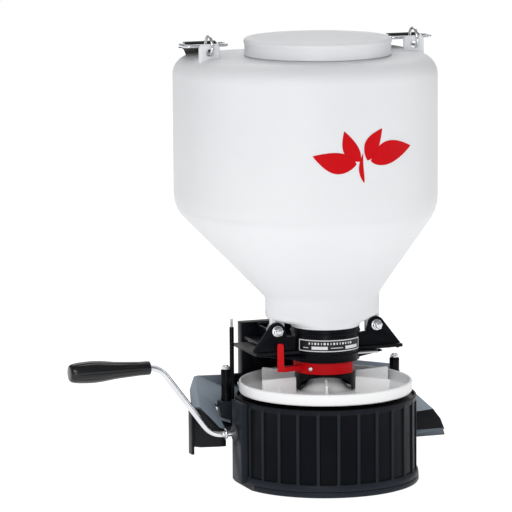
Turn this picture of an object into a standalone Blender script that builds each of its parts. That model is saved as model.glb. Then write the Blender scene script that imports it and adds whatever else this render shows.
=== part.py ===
"""Chest-carried, hand-cranked garden spreader.

Row frame: origin at the centre of the base, +Z up, -Y away from the person who carries it, and the
crank on the -X side. Sizes below are in millimetres, and every mesh is scaled to metres as it is made.
"""
import math

import bmesh
import bpy
from mathutils import Vector

MM = 0.001
GAP = 0.3

# Drum and base
BASE_RADIUS = 107.5
BASE_HEIGHT = 7.0
DRUM_RADIUS = 103.5
DRUM_WALL = 3.0
DRUM_TOP = 98.0
RIB_COUNT = 28
RIB_DEPTH = 1.6
RIB_SHARE = 0.18
BOX_OUT = 110.5
BOX_FRONT = -19.0
BOX_BACK = 12.0
BASE_FLAT_X = -101.3
POST_X = 105.0
POST_Y = 48.0
POST_BASE = 92.0
POST_TOP = 128.5
STAY_X = -96.0
STAY_Y = 52.0
STAY_TOP = 187.0
BASE_SCREW_RADIUS = 94.0

# Crank and gears
CRANK_HEIGHT = 62.8
CRANK_RISE = 83.0
ROD_RADIUS = 3.5
BEND_LOW_X = -139.9
BEND_HIGH_X = -202.1
GRIP_INNER = 213.0
GRIP_OUTER = 309.0
GEAR_TEETH = 44
PINION_TEETH = 12
PINION_PITCH_RADIUS = 7.5
GEAR_PITCH_RADIUS = PINION_PITCH_RADIUS * GEAR_TEETH / PINION_TEETH
MESH_HEIGHT = CRANK_HEIGHT - GEAR_PITCH_RADIUS
TOOTH_OUT = 0.9
TOOTH_IN = 1.3
TOOTH_SHARE = 0.32
SHAFT_RADIUS = 4.0
SHAFT_BORE = 4.3

# Impeller and outlet
IMPELLER_RADIUS = 99.8
IMPELLER_LOW = 104.4
IMPELLER_FLOOR = 107.0
IMPELLER_RIM = 118.0
VANE_COUNT = 6
VANE_TOP = 125.0
VANE_INNER = 40.0
VANE_OUTER = 84.0
FACING_DEG = -20.0
SCREW_DEG = FACING_DEG - 27.0
CUP_RADIUS = 34.5
CUP_LOW = 108.8
CUP_NECK_RADIUS = 29.7
RING_LOW = 129.5
RING_HIGH = 142.7
RING_RADIUS = 37.0
BARREL_RADIUS = 39.5
BARREL_LOW = 143.0
BARREL_HIGH = 181.5
THROAT_RADIUS = 22.0
DECK_LOW = 152.5
DECK_HIGH = 156.0
DECK_HALF_WIDTH = 90.0
DECK_FRONT = -15.0
GATE_LOW = 149.1
GATE_HIGH = 151.3
GATE_HALF_WIDTH = 24.0
LABEL_LOW = 156.2
LABEL_HIGH = 170.6

# Hopper neck and its fixing ears
NECK_Y = 9.0
NECK_HALF_WIDTH = 69.0
NECK_HALF_DEPTH = 46.0
NECK_POWER = 1.8
NECK_LOW = 192.0
NECK_HIGH = 216.0
SPIGOT_RADIUS = 35.5
EAR_X = 61.0
EAR_Z = 178.7
EAR_RADIUS = 9.8
EAR_FRONT = -6.0
EAR_BACK = -1.0
BOLT_RADIUS = 3.8

# Hopper and lid
HOPPER_Y = 55.0
HOPPER_HALF_WIDTH = 148.0
HOPPER_FRONT = 147.0
HOPPER_BACK = 95.0
FRONT_POWER = 2.2
BACK_POWER = 4.5
HOPPER_WALL = 3.0
CONE_TOP = 303.0
SHOULDER_LOW = 467.0
HOPPER_TOP = 491.0
MOUTH_Y = 20.0
MOUTH_RADIUS = 79.0
MOUTH_TOP = 506.0
LID_RADIUS = 85.0
LID_LOW = 492.8
LID_EDGE = 512.0
LID_CROWN = 517.0
LUG_X = 125.5
LUG_Y = 37.5
LUG_Z = 497.5
LUG_HALF_WIDTH = 12.0
LUG_HALF_DEPTH = 3.0
LUG_TOP = 507.5

# Frame back, shield and strap
SPINE_FRONT = 108.2
SPINE_BACK = 122.0
SPINE_HALF_WIDTH = 63.5
SPINE_LOW = 20.0
SPINE_TOP = 171.0
SHIELD_WALL = 2.5
SHIELD_FRONT = 15.0
STRAP_WIDTH = 38.0
STRAP_THICKNESS = 2.4

SPIN_AXIS = (0.0, 0.0, IMPELLER_LOW)
CRANK_AXIS = (-BOX_OUT, 0.0, CRANK_HEIGHT)
GRIP_AXIS = (-GRIP_INNER, 0.0, CRANK_HEIGHT + CRANK_RISE)

FINISHES = {
    "black_plastic": ((0.012, 0.013, 0.016), 0.38, 0.0),
    "white_poly": ((0.83, 0.84, 0.86), 0.42, 0.0),
    "white_nylon": ((0.86, 0.87, 0.88), 0.35, 0.0),
    "red_plastic": ((0.62, 0.01, 0.02), 0.35, 0.0),
    "bright_steel": ((0.72, 0.73, 0.75), 0.25, 1.0),
    "dark_gear": ((0.07, 0.07, 0.08), 0.45, 0.0),
    "bronze_bush": ((0.55, 0.38, 0.18), 0.40, 1.0),
    "black_webbing": ((0.015, 0.015, 0.017), 0.90, 0.0),
    "label_print": ((0.70, 0.71, 0.72), 0.40, 0.0),
    "grey_rubber": ((0.10, 0.10, 0.11), 0.80, 0.0),
}


# ---------------------------------------------------------------- mesh helpers
def clear_scene():
    for thing in list(bpy.data.objects):
        bpy.data.objects.remove(thing, do_unlink=True)


def finish_material(finish):
    found = bpy.data.materials.get(finish)
    if found:
        return found
    colour, roughness, metallic = FINISHES[finish]
    made = bpy.data.materials.new(finish)
    made.use_nodes = True
    shader = made.node_tree.nodes["Principled BSDF"]
    shader.inputs["Base Color"].default_value = (*colour, 1.0)
    shader.inputs["Roughness"].default_value = roughness
    shader.inputs["Metallic"].default_value = metallic
    return made


def to_object(mesh_data, name, finish, origin=(0.0, 0.0, 0.0), sharp_deg=35.0):
    """Turns a bmesh in millimetres into an object in metres whose origin is at the given point."""
    shift = Vector(origin)
    bmesh.ops.recalc_face_normals(mesh_data, faces=mesh_data.faces)
    for vert in mesh_data.verts:
        vert.co = (vert.co - shift) * MM
    mesh = bpy.data.meshes.new(name)
    mesh_data.to_mesh(mesh)
    mesh_data.free()
    mesh.shade_smooth()
    mesh.set_sharp_from_angle(angle=math.radians(sharp_deg))
    mesh.materials.append(finish_material(finish))
    thing = bpy.data.objects.new(name, mesh)
    thing.location = shift * MM
    bpy.context.scene.collection.objects.link(thing)
    return thing


def combine(target, others, operation):
    """Applies exact Booleans one after another and deletes the tools."""
    for other in others:
        modifier = target.modifiers.new("combine", "BOOLEAN")
        modifier.operation = operation
        modifier.solver = "EXACT"
        modifier.object = other
        bpy.context.view_layer.update()
        graph = bpy.context.evaluated_depsgraph_get()
        result = bpy.data.meshes.new_from_object(target.evaluated_get(graph))
        target.modifiers.remove(modifier)
        target.data = result
        bpy.data.objects.remove(other, do_unlink=True)
    while len(target.data.materials) > 1:
        target.data.materials.pop()
    target.data.polygons.foreach_set("material_index", [0] * len(target.data.polygons))
    target.data.shade_smooth()
    target.data.set_sharp_from_angle(angle=math.radians(35.0))
    return target


def place(axis, u, v, along):
    """A point from two coordinates across an axis and one along it."""
    if axis == "Z":
        return Vector((u, v, along))
    if axis == "Y":
        return Vector((u, along, v))
    return Vector((along, u, v))


def loft(rings, closed):
    """Joins rings of equal count; a closed loft returns to its first ring, an open one gets flat ends."""
    mesh_data = bmesh.new()
    rows = [[mesh_data.verts.new(point) for point in ring] for ring in rings]
    count = len(rows[0])
    pairs = list(zip(rows, rows[1:]))
    if closed:
        pairs.append((rows[-1], rows[0]))
    for low, high in pairs:
        for i in range(count):
            j = (i + 1) % count
            mesh_data.faces.new((low[i], low[j], high[j], high[i]))
    if not closed:
        mesh_data.faces.new(list(reversed(rows[0])))
        mesh_data.faces.new(rows[-1])
    return mesh_data


def circle(cx, cy, radius, z, count=40):
    turn = 2.0 * math.pi / count
    angles = [turn * i for i in range(count)]
    return [Vector((cx + radius * math.cos(angle), cy + radius * math.sin(angle), z)) for angle in angles]


def turned(outline, axis="Z", centre=(0.0, 0.0), count=40):
    """A closed outline of (radius, height) turned about an axis; radius 0 makes a pole."""
    mesh_data = bmesh.new()
    rows = []
    for radius, height in outline:
        steps = 1 if radius == 0 else count
        row = []
        for i in range(steps):
            angle = 2.0 * math.pi * i / count
            u = centre[0] + radius * math.cos(angle)
            v = centre[1] + radius * math.sin(angle)
            row.append(mesh_data.verts.new(place(axis, u, v, height)))
        rows.append(row)
    for low, high in zip(rows, rows[1:] + rows[:1]):
        if len(low) == 1 and len(high) == 1:
            continue
        for i in range(count):
            j = (i + 1) % count
            corners = [low[i % len(low)], low[j % len(low)], high[j % len(high)], high[i % len(high)]]
            mesh_data.faces.new(list(dict.fromkeys(corners)))
    return mesh_data


def prism(outline, low, high, axis="Z"):
    ends = [[place(axis, u, v, depth) for u, v in outline] for depth in (low, high)]
    return loft(ends, False)


def block(low, high):
    outline = [(low[0], low[1]), (high[0], low[1]), (high[0], high[1]), (low[0], high[1])]
    return prism(outline, low[2], high[2])


def polygon(count, radius, centre=(0.0, 0.0), turn_deg=0.0):
    points = []
    for i in range(count):
        angle = 2.0 * math.pi * i / count + math.radians(turn_deg)
        points.append((centre[0] + radius * math.cos(angle), centre[1] + radius * math.sin(angle)))
    return points


def arc(centre, radius, start_deg, end_deg, steps):
    points = []
    for i in range(steps + 1):
        angle = math.radians(start_deg + (end_deg - start_deg) * i / steps)
        points.append((centre[0] + radius * math.cos(angle), centre[1] + radius * math.sin(angle)))
    return points


def rounded_path(corners, radius, steps=4):
    """Replaces each inner corner of a 3-D path by a round bend."""
    points = [Vector(corners[0])]
    for before, corner, after in zip(corners, corners[1:], corners[2:]):
        corner = Vector(corner)
        start = corner + (Vector(before) - corner).normalized() * radius
        end = corner + (Vector(after) - corner).normalized() * radius
        for i in range(steps + 1):
            t = i / steps
            points.append(start * (1 - t) ** 2 + corner * 2 * t * (1 - t) + end * t ** 2)
    points.append(Vector(corners[-1]))
    return points


def wire(points, radius, sides=8, closed=False):
    """A round wire along a path, with a frame carried along it so that it doesn't twist."""
    points = [Vector(point) for point in points]
    last = len(points) - 1
    rings = []
    side = None
    for i, point in enumerate(points):
        before = points[i - 1] if (i > 0 or closed) else point
        after = points[(i + 1) % len(points)] if (i < last or closed) else point
        along = (after - before).normalized()
        if side is None:
            side = along.orthogonal().normalized()
        side = (side - along * side.dot(along)).normalized()
        other = along.cross(side)
        ring = []
        for k in range(sides):
            angle = 2.0 * math.pi * k / sides
            ring.append(point + (side * math.cos(angle) + other * math.sin(angle)) * radius)
        rings.append(ring)
    return loft(rings, closed)


def tool(mesh_data):
    """A short-lived solid that a Boolean uses up."""
    return to_object(mesh_data, "tool", "black_plastic")


def bore(axis, centre, radius, low, high, count=24):
    return tool(prism(polygon(count, radius, centre), low, high, axis))


# ---------------------------------------------------------------- drum and base
def ribbed_outline():
    """Drum outline seen from above: a circle with narrow upright ribs."""
    points = []
    step = 2.0 * math.pi / RIB_COUNT
    half = step * RIB_SHARE / 2.0
    flank = 0.01
    for i in range(RIB_COUNT):
        middle = step * i
        for radius, angle in (
            (DRUM_RADIUS, middle - half - flank),
            (DRUM_RADIUS + RIB_DEPTH, middle - half),
            (DRUM_RADIUS + RIB_DEPTH, middle + half),
            (DRUM_RADIUS, middle + half + flank),
        ):
            points.append((radius * math.cos(angle), radius * math.sin(angle)))
    return points


def base_screw_places():
    return polygon(4, BASE_SCREW_RADIUS, turn_deg=45.0)


def make_drum():
    low = BASE_HEIGHT + GAP
    drum = to_object(prism(ribbed_outline(), low, DRUM_TOP), "drum_housing", "black_plastic")
    adds = [
        tool(block((-BOX_OUT, BOX_FRONT, low), (-90.0, BOX_BACK, DRUM_TOP + 1.5))),
        tool(block((-50.0, 80.0, 30.0), (50.0, SPINE_FRONT - GAP, 80.0))),
    ]
    for side in (-1.0, 1.0):
        near, far = sorted((side * 85.0, side * 113.5))
        adds.append(tool(block((near, POST_Y - 8.0, 57.0), (far, POST_Y + 8.0, POST_BASE))))
    combine(drum, adds, "UNION")
    inside = DRUM_RADIUS - DRUM_WALL
    roof = DRUM_TOP - DRUM_WALL
    hollow = [(0, -5.0), (inside, -5.0), (inside, roof), (0, roof)]
    combine(drum, [tool(turned(hollow, count=48))], "DIFFERENCE")
    bosses = [tool(prism(polygon(16, 7.5, place), low, 32.0)) for place in base_screw_places()]
    combine(drum, bosses, "UNION")
    cuts = [
        bore("Z", (0.0, 0.0), 9.4, roof - 5.0, DRUM_TOP + 5.0),
        bore("X", (0.0, CRANK_HEIGHT), 7.5, -130.0, -80.0),
        bore("Z", (STAY_X, STAY_Y), 2.2, 70.0, POST_BASE + 5.0, 12),
    ]
    for side in (-1.0, 1.0):
        cuts.append(bore("Z", (side * POST_X, POST_Y), 3.0, 62.0, POST_BASE + 5.0, 16))
        cuts.append(bore("Y", (side * 30.0, 60.0), 2.9, 100.0, SPINE_FRONT + 5.0, 16))
    cuts += [bore("Z", place, 2.4, 0.0, 26.0, 16) for place in base_screw_places()]
    return combine(drum, cuts, "DIFFERENCE")


def make_base():
    rim = DRUM_RADIUS - DRUM_WALL - 2.0 * GAP
    outline = [
        (0, 0),
        (BASE_RADIUS, 0),
        (BASE_RADIUS, BASE_HEIGHT),
        (rim, BASE_HEIGHT),
        (rim, BASE_HEIGHT + 5.0),
        (rim - 2.5, BASE_HEIGHT + 5.0),
        (rim - 2.5, 4.0),
        (14.0, 4.0),
        (14.0, 15.0),
        (7.3, 15.0),
        (7.3, 5.0),
        (0, 5.0),
    ]
    base = to_object(turned(outline, count=48), "base_cover", "black_plastic")
    cuts = [tool(prism(polygon(16, 8.6, place), 4.0 - GAP, 20.0)) for place in base_screw_places()]
    cuts.append(tool(block((-BASE_RADIUS - 5.0, -60.0, -5.0), (BASE_FLAT_X, 60.0, 20.0))))
    cuts += [bore("Z", place, 2.6, -5.0, 10.0, 16) for place in base_screw_places()]
    cuts += [bore("Z", place, 5.2, -5.0, 2.0, 16) for place in base_screw_places()]
    return combine(base, cuts, "DIFFERENCE")


def make_base_screws():
    for number, (x, y) in enumerate(base_screw_places(), start=1):
        outline = [(0, 0.2), (4.6, 0.2), (4.6, 1.7), (2.0, 1.7), (2.0, 24.0), (0, 24.0)]
        screw = turned(outline, centre=(x, y), count=16)
        to_object(screw, f"base_screw_{number}", "bright_steel", (x, y, 0.2))


def make_posts():
    for side, word in ((-1.0, "left"), (1.0, "right")):
        spot = (side * POST_X, POST_Y)
        low = POST_BASE + GAP
        sleeve = [(3.1, low), (5.8, low), (5.8, POST_TOP), (3.1, POST_TOP)]
        to_object(turned(sleeve, centre=spot, count=16), f"post_{word}", "black_plastic", (*spot, low))
        shank = prism(polygon(16, 2.6, spot), 64.0, POST_TOP + 2.0)
        bolt = to_object(shank, f"post_bolt_{word}", "bright_steel")
        combine(bolt, [tool(prism(polygon(6, 5.4, spot), POST_TOP + GAP, POST_TOP + 5.5))], "UNION")


def make_stay():
    spot = (STAY_X, STAY_Y)
    rod = prism(polygon(10, 1.5, spot), 74.0, STAY_TOP)
    to_object(rod, "stay_rod", "bright_steel", (*spot, 74.0))
    low = POST_BASE + GAP
    high = STAY_TOP - 10.0
    sleeve = [(1.8, low), (2.6, low), (2.6, high), (1.8, high)]
    to_object(turned(sleeve, centre=spot, count=10), "stay_sleeve", "black_plastic", (*spot, low))


# ---------------------------------------------------------------- drive
def tooth_angles(count, share, offset):
    """Angles of the four corners of each tooth, given the share of a pitch that it fills half-way up."""
    step = 2.0 * math.pi / count
    return [(step * i + offset, step * share / 2.0) for i in range(count)]


def make_pinion():
    points = []
    tip = PINION_PITCH_RADIUS + TOOTH_OUT
    root = PINION_PITCH_RADIUS - TOOTH_IN
    for middle, half in tooth_angles(PINION_TEETH, TOOTH_SHARE, 0.0):
        for radius, turn in ((root, -1.5), (tip, -0.6), (tip, 0.6), (root, 1.5)):
            angle = middle + half * turn
            points.append((radius * math.cos(angle), radius * math.sin(angle)))
    low = MESH_HEIGHT - 4.0
    pinion = to_object(prism(points, low, MESH_HEIGHT + 4.0), "pinion", "dark_gear")
    combine(pinion, [tool(prism(polygon(24, 6.0), low - 10.0, low + 1.0))], "UNION")
    return combine(pinion, [bore("Z", (0.0, 0.0), SHAFT_BORE, low - 12.0, MESH_HEIGHT + 8.0)], "DIFFERENCE")


def make_crank_gear():
    """A face gear on the crank: radial teeth that stand towards the impeller shaft."""
    root_x = -PINION_PITCH_RADIUS - TOOTH_IN
    tip_x = -PINION_PITCH_RADIUS + TOOTH_OUT
    outer = GEAR_PITCH_RADIUS + 3.0
    inner = GEAR_PITCH_RADIUS - 3.0
    centre = (0.0, CRANK_HEIGHT)
    disc = [
        (3.8, root_x - 14.0),
        (9.0, root_x - 14.0),
        (9.0, root_x - 5.0),
        (outer, root_x - 5.0),
        (outer, root_x),
        (3.8, root_x),
    ]
    mesh_data = turned(disc, "X", centre, count=44)
    gear = to_object(mesh_data, "crank_gear", "dark_gear")
    teeth = bmesh.new()
    step = 2.0 * math.pi / GEAR_TEETH
    half = step * TOOTH_SHARE / 2.0
    for i in range(GEAR_TEETH):
        middle = -math.pi / 2.0 + step * (i + 0.5)
        corners = []
        for x, turn in ((root_x - 0.6, 1.6), (tip_x, 0.6)):
            for radius, side in ((inner, -1.0), (outer - 0.1, -1.0), (outer - 0.1, 1.0), (inner, 1.0)):
                angle = middle + side * half * turn
                y = centre[0] + radius * math.cos(angle)
                z = centre[1] + radius * math.sin(angle)
                corners.append(teeth.verts.new((x, y, z)))
        low, high = corners[:4], corners[4:]
        teeth.faces.new(low)
        teeth.faces.new(high)
        for a in range(4):
            b = (a + 1) % 4
            teeth.faces.new((low[a], low[b], high[b], high[a]))
    return combine(gear, [tool(teeth)], "UNION")


def make_shafts():
    shaft = prism(polygon(20, SHAFT_RADIUS), 7.0, 172.0)
    to_object(shaft, "impeller_shaft", "bright_steel", SPIN_AXIS)
    lower = [(SHAFT_BORE, 6.0), (7.0, 6.0), (7.0, 16.5), (SHAFT_BORE, 16.5)]
    to_object(turned(lower, count=24), "lower_bush", "bronze_bush")
    roof = DRUM_TOP - DRUM_WALL
    upper = [
        (SHAFT_BORE, roof - 1.0),
        (9.0, roof - 1.0),
        (9.0, DRUM_TOP + GAP),
        (12.0, DRUM_TOP + GAP),
        (12.0, DRUM_TOP + 2.5),
        (SHAFT_BORE, DRUM_TOP + 2.5),
    ]
    to_object(turned(upper, count=24), "upper_bush", "bronze_bush")
    bush = [
        (3.8, -BOX_OUT - 2.5),
        (9.5, -BOX_OUT - 2.5),
        (9.5, -BOX_OUT - GAP),
        (7.1, -BOX_OUT - GAP),
        (7.1, -100.0),
        (3.8, -100.0),
    ]
    to_object(turned(bush, "X", (0.0, CRANK_HEIGHT), 24), "crank_bush", "bronze_bush")


def make_crank():
    high = CRANK_HEIGHT + CRANK_RISE
    corners = [
        (-12.0, 0.0, CRANK_HEIGHT),
        (BEND_LOW_X, 0.0, CRANK_HEIGHT),
        (BEND_HIGH_X, 0.0, high),
        (-303.0, 0.0, high),
    ]
    to_object(wire(rounded_path(corners, 10.0), ROD_RADIUS, 12), "crank_rod", "bright_steel", CRANK_AXIS)
    washer = [(3.8, -124.0), (6.2, -124.0), (6.2, -122.0), (3.8, -122.0)]
    washer_mesh = turned(washer, "X", (0.0, CRANK_HEIGHT), 20)
    to_object(washer_mesh, "crank_washer", "bright_steel", CRANK_AXIS)
    grip = [
        (0, -GRIP_OUTER),
        (8.5, -GRIP_OUTER),
        (10.4, -306.5),
        (11.8, -298.0),
        (12.5, -284.0),
        (12.0, -272.0),
        (9.9, -256.0),
        (8.3, -232.0),
        (7.9, -GRIP_INNER - 1.5),
        (6.8, -GRIP_INNER),
        (3.9, -GRIP_INNER),
        (3.9, -304.0),
        (0, -304.0),
    ]
    to_object(turned(grip, "X", (0.0, high), 24), "crank_grip", "black_plastic", GRIP_AXIS)


# ---------------------------------------------------------------- impeller and outlet
def spun(mesh_data, angle_deg):
    """Turns a mesh about the impeller axis."""
    angle = math.radians(angle_deg)
    for vert in mesh_data.verts:
        x, y, z = vert.co
        vert.co = (x * math.cos(angle) - y * math.sin(angle), x * math.sin(angle) + y * math.cos(angle), z)
    return mesh_data


def make_impeller():
    inner_rim = IMPELLER_RADIUS - 3.0
    outline = [
        (SHAFT_BORE, IMPELLER_LOW),
        (IMPELLER_RADIUS - 1.0, IMPELLER_LOW),
        (IMPELLER_RADIUS, IMPELLER_LOW + 1.0),
        (IMPELLER_RADIUS, IMPELLER_RIM),
        (inner_rim, IMPELLER_RIM),
        (inner_rim, IMPELLER_FLOOR),
        (28.0, IMPELLER_FLOOR),
        (13.0, 126.0),
        (SHAFT_BORE, 127.0),
    ]
    impeller = to_object(turned(outline, count=48), "impeller", "white_nylon", SPIN_AXIS)
    vanes = []
    for i in range(VANE_COUNT):
        vane = block((VANE_INNER, -1.6, IMPELLER_FLOOR - 1.0), (VANE_OUTER, 1.6, VANE_TOP))
        vanes.append(to_object(spun(vane, FACING_DEG - 90.0 + 60.0 * i), "vane", "white_nylon", SPIN_AXIS))
    for vane in vanes:
        vane.location = impeller.location
    return combine(impeller, vanes, "UNION")


def make_agitator():
    """A finger hub that stirs the granules above the gate."""
    outline = [(SHAFT_BORE, 164.0), (7.0, 164.0), (7.0, 171.0), (SHAFT_BORE, 171.0)]
    hub = to_object(turned(outline, count=16), "agitator", "bright_steel")
    fingers = []
    for turn in (0.0, 180.0):
        path = rounded_path([(5.0, 0.0, 167.5), (14.0, 0.0, 167.5), (19.0, 0.0, 179.0)], 4.0)
        fingers.append(tool(spun(wire(path, 1.6, 8), turn + 40.0)))
    return combine(hub, fingers, "UNION")


def make_drop_cup():
    top = RING_LOW - GAP
    neck_inner = CUP_NECK_RADIUS - 3.0
    outline = [
        (CUP_RADIUS - 3.0, CUP_LOW),
        (CUP_RADIUS, CUP_LOW),
        (CUP_RADIUS, top),
        (CUP_NECK_RADIUS, top),
        (CUP_NECK_RADIUS, 147.0),
        (neck_inner, 147.0),
        (neck_inner, top - 3.0),
        (CUP_RADIUS - 3.0, top - 3.0),
    ]
    cup = to_object(turned(outline), "drop_cup", "black_plastic")
    half = [(29.0, 100.0), (29.0, 114.5), (18.0, 121.5), (9.0, 125.8)]
    arch = half + [(-x, z) for x, z in reversed(half)]
    cutter = spun(prism(arch, -60.0, -4.0, "Y"), FACING_DEG)
    screw_hole = spun(prism(polygon(10, 1.6, (0.0, 136.0)), -60.0, -20.0, "Y"), SCREW_DEG)
    return combine(cup, [tool(cutter), tool(screw_hole)], "DIFFERENCE")


def make_direction_ring():
    """The red ring around the cup's neck, open at the back, with an arm and an upright finger tab."""
    inner = CUP_NECK_RADIUS + GAP
    start, end = -53.0, -230.0
    sector = arc((0.0, 0.0), RING_RADIUS, start, end, 24) + arc((0.0, 0.0), inner, end, start, 24)
    ring = to_object(prism(sector, RING_LOW, RING_HIGH), "direction_ring", "red_plastic")
    arm = [(-27.0, -21.5), (-24.5, -26.0), (-46.5, -42.0), (-55.5, -42.0), (-55.5, -38.0)]
    tab = [(-55.6, 134.0), (-46.4, 134.0), (-47.6, 140.0), (-48.3, 165.0), (-49.6, 166.5)]
    tab += [(-53.8, 166.5), (-55.2, 165.0)]
    adds = [
        tool(spun(prism(arm, 134.0, 139.5), FACING_DEG)),
        tool(spun(prism(tab, -42.0, -37.8, "Y"), FACING_DEG)),
    ]
    combine(ring, adds, "UNION")
    hole = spun(prism(polygon(10, 1.6, (0.0, 136.0)), -60.0, -20.0, "Y"), SCREW_DEG)
    return combine(ring, [tool(hole)], "DIFFERENCE")


def make_direction_screw():
    spot = (0.0, 136.0)
    seat = -RING_RADIUS - 0.8
    outline = [(0, -40.0), (2.6, -40.0), (2.6, seat), (1.2, seat), (1.2, -27.5), (0, -27.5)]
    screw = turned(outline, "Y", spot, 12)
    to_object(spun(screw, SCREW_DEG), "direction_screw", "bright_steel")


def make_gate():
    """A flat shutter under the deck, slotted for the shaft, and its pull knob at the right."""
    nose = arc((0.0, 0.0), GATE_HALF_WIDTH, 95.0 + 8.0, 180.0 - 12.0, 8)
    end = DECK_HALF_WIDTH + 1.0
    outline = [(end, 5.0), (end, 22.0), (60.0, 22.0), (56.0, GATE_HALF_WIDTH)]
    outline += nose + [(-23.0, 4.9), (4.9, 4.9), (4.9, -4.9), (-23.0, -4.9)]
    outline += [(x, -y) for x, y in reversed(nose)] + [(56.0, -GATE_HALF_WIDTH), (60.0, -10.0), (70.0, 5.0)]
    plate = to_object(prism(outline, GATE_LOW, GATE_HIGH), "shutter_plate", "bright_steel")
    low, high = GATE_LOW - 2.0, GATE_HIGH + 4.0
    grip = block((DECK_HALF_WIDTH + 1.3, 7.5, low), (DECK_HALF_WIDTH + 6.5, 19.5, high))
    knob = to_object(grip, "shutter_knob", "black_plastic", (DECK_HALF_WIDTH, 13.5, GATE_LOW))
    bevel = knob.modifiers.new("bevel", "BEVEL")
    bevel.width = 1.5 * MM
    bevel.segments = 2
    return plate


# ---------------------------------------------------------------- frame head
def make_frame_head():
    """The black moulding that carries the hopper: barrel, deck, tapered skirt and two bolted ears."""
    rings = [circle(0.0, 0.0, BARREL_RADIUS, BARREL_LOW), circle(0.0, 0.0, BARREL_RADIUS, BARREL_HIGH)]
    head = to_object(loft(rings, False), "frame_head", "black_plastic")
    skirt = bmesh.new()
    for x, y in ((-88.0, -8.0), (88.0, -8.0), (88.0, 42.0), (-88.0, 42.0)):
        skirt.verts.new((x, y, DECK_LOW + 0.5))
        skirt.verts.new((x, y, DECK_LOW - 1.0))
    for point in circle(0.0, 0.0, 30.0, BARREL_LOW + 0.6, 32):
        skirt.verts.new(point)
    bmesh.ops.convex_hull(skirt, input=skirt.verts)
    loose = [vert for vert in skirt.verts if not vert.link_faces]
    bmesh.ops.delete(skirt, geom=loose, context="VERTS")
    adds = [
        tool(skirt),
        tool(block((-DECK_HALF_WIDTH, DECK_FRONT, DECK_LOW), (DECK_HALF_WIDTH, 64.0, DECK_HIGH))),
        tool(block((-62.0, 63.0, DECK_LOW), (62.0, SPINE_FRONT - GAP, DECK_HIGH))),
    ]
    for side in (-1.0, 1.0):
        ear = [(30.0, DECK_LOW), (DECK_HALF_WIDTH, DECK_LOW), (DECK_HALF_WIDTH, DECK_HIGH + 1.0)]
        ear += arc((EAR_X, EAR_Z), EAR_RADIUS, 25.0, 150.0, 8) + [(49.0, 172.0), (30.0, 170.0)]
        adds.append(tool(prism([(side * x, z) for x, z in ear], EAR_FRONT, EAR_BACK, "Y")))
        near, far = sorted((side * 42.0, side * 45.0))
        adds.append(tool(block((near, -2.0, DECK_LOW), (far, SPINE_FRONT - GAP, 168.0))))
    adds.append(tool(block((-45.0, SPINE_FRONT - GAP - 4.0, DECK_LOW), (45.0, SPINE_FRONT - GAP, 170.0))))
    combine(head, adds, "UNION")
    funnel = [
        circle(0.0, 0.0, 33.2, 130.0),
        circle(0.0, 0.0, 33.2, 147.6),
        circle(0.0, 0.0, THROAT_RADIUS, 147.6),
        circle(0.0, 0.0, THROAT_RADIUS, 158.0),
        circle(0.0, 0.0, 32.0, 173.0),
        circle(0.0, 0.0, SPIGOT_RADIUS + 0.6, 173.0),
        circle(0.0, 0.0, SPIGOT_RADIUS + 0.6, 190.0),
    ]
    slot_low, slot_high = GATE_LOW - GAP, GATE_HIGH + GAP
    cuts = [
        tool(loft(funnel, False)),
        tool(block((-24.6, -GATE_HALF_WIDTH - 0.4, slot_low), (95.0, GATE_HALF_WIDTH + 0.4, slot_high))),
    ]
    for side in (-1.0, 1.0):
        cuts.append(bore("Y", (side * EAR_X, EAR_Z), BOLT_RADIUS + GAP, -20.0, 5.0, 16))
        cuts.append(bore("Y", (side * 30.0, 160.0), 2.9, 95.0, 115.0, 16))
    return combine(head, cuts, "DIFFERENCE")


def make_label():
    inner = BARREL_RADIUS + GAP
    start, end = -165.0, -34.0
    outline = arc((0.0, 0.0), inner + 0.6, start, end, 24) + arc((0.0, 0.0), inner, end, start, 24)
    to_object(prism(outline, LABEL_LOW, LABEL_HIGH), "direction_label", "label_print")


def make_ear_bolts():
    back = 5.6
    for side, word in ((-1.0, "left"), (1.0, "right")):
        spot = (side * EAR_X, EAR_Z)
        shank = prism(polygon(16, BOLT_RADIUS, spot), EAR_FRONT - 2.0, 14.0, "Y")
        bolt = to_object(shank, f"ear_bolt_{word}", "bright_steel", (spot[0], EAR_FRONT, spot[1]))
        head = to_object(prism(polygon(6, 7.4, spot), -11.5, EAR_FRONT - GAP, "Y"), "tool", "bright_steel",
                         (spot[0], EAR_FRONT, spot[1]))
        combine(bolt, [head], "UNION")
        nut = prism(polygon(6, 7.4, spot), back + GAP, back + 6.5, "Y")
        nut_object = to_object(nut, f"ear_nut_{word}", "bright_steel", (spot[0], back, spot[1]))
        combine(nut_object, [bore("Y", spot, BOLT_RADIUS + GAP, 0.0, 20.0, 16)], "DIFFERENCE")


def make_spine():
    """The upright channel behind the drum that joins the frame head to the drum."""
    low, high = (-SPINE_HALF_WIDTH, SPINE_FRONT, SPINE_LOW), (SPINE_HALF_WIDTH, SPINE_BACK, SPINE_TOP)
    spine = to_object(block(low, high), "spine", "black_plastic")
    inner_low = (-SPINE_HALF_WIDTH + 3.0, SPINE_FRONT + 3.5, SPINE_LOW + 3.0)
    inner_high = (SPINE_HALF_WIDTH - 3.0, SPINE_BACK + 5.0, SPINE_TOP - 3.0)
    cuts = [tool(block(inner_low, inner_high))]
    for x, z in spine_screw_places():
        cuts.append(bore("Y", (x, z), 2.9, 100.0, 130.0, 16))
    return combine(spine, cuts, "DIFFERENCE")


def spine_screw_places():
    return [(-30.0, 60.0), (30.0, 60.0), (-30.0, 160.0), (30.0, 160.0)]


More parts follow.
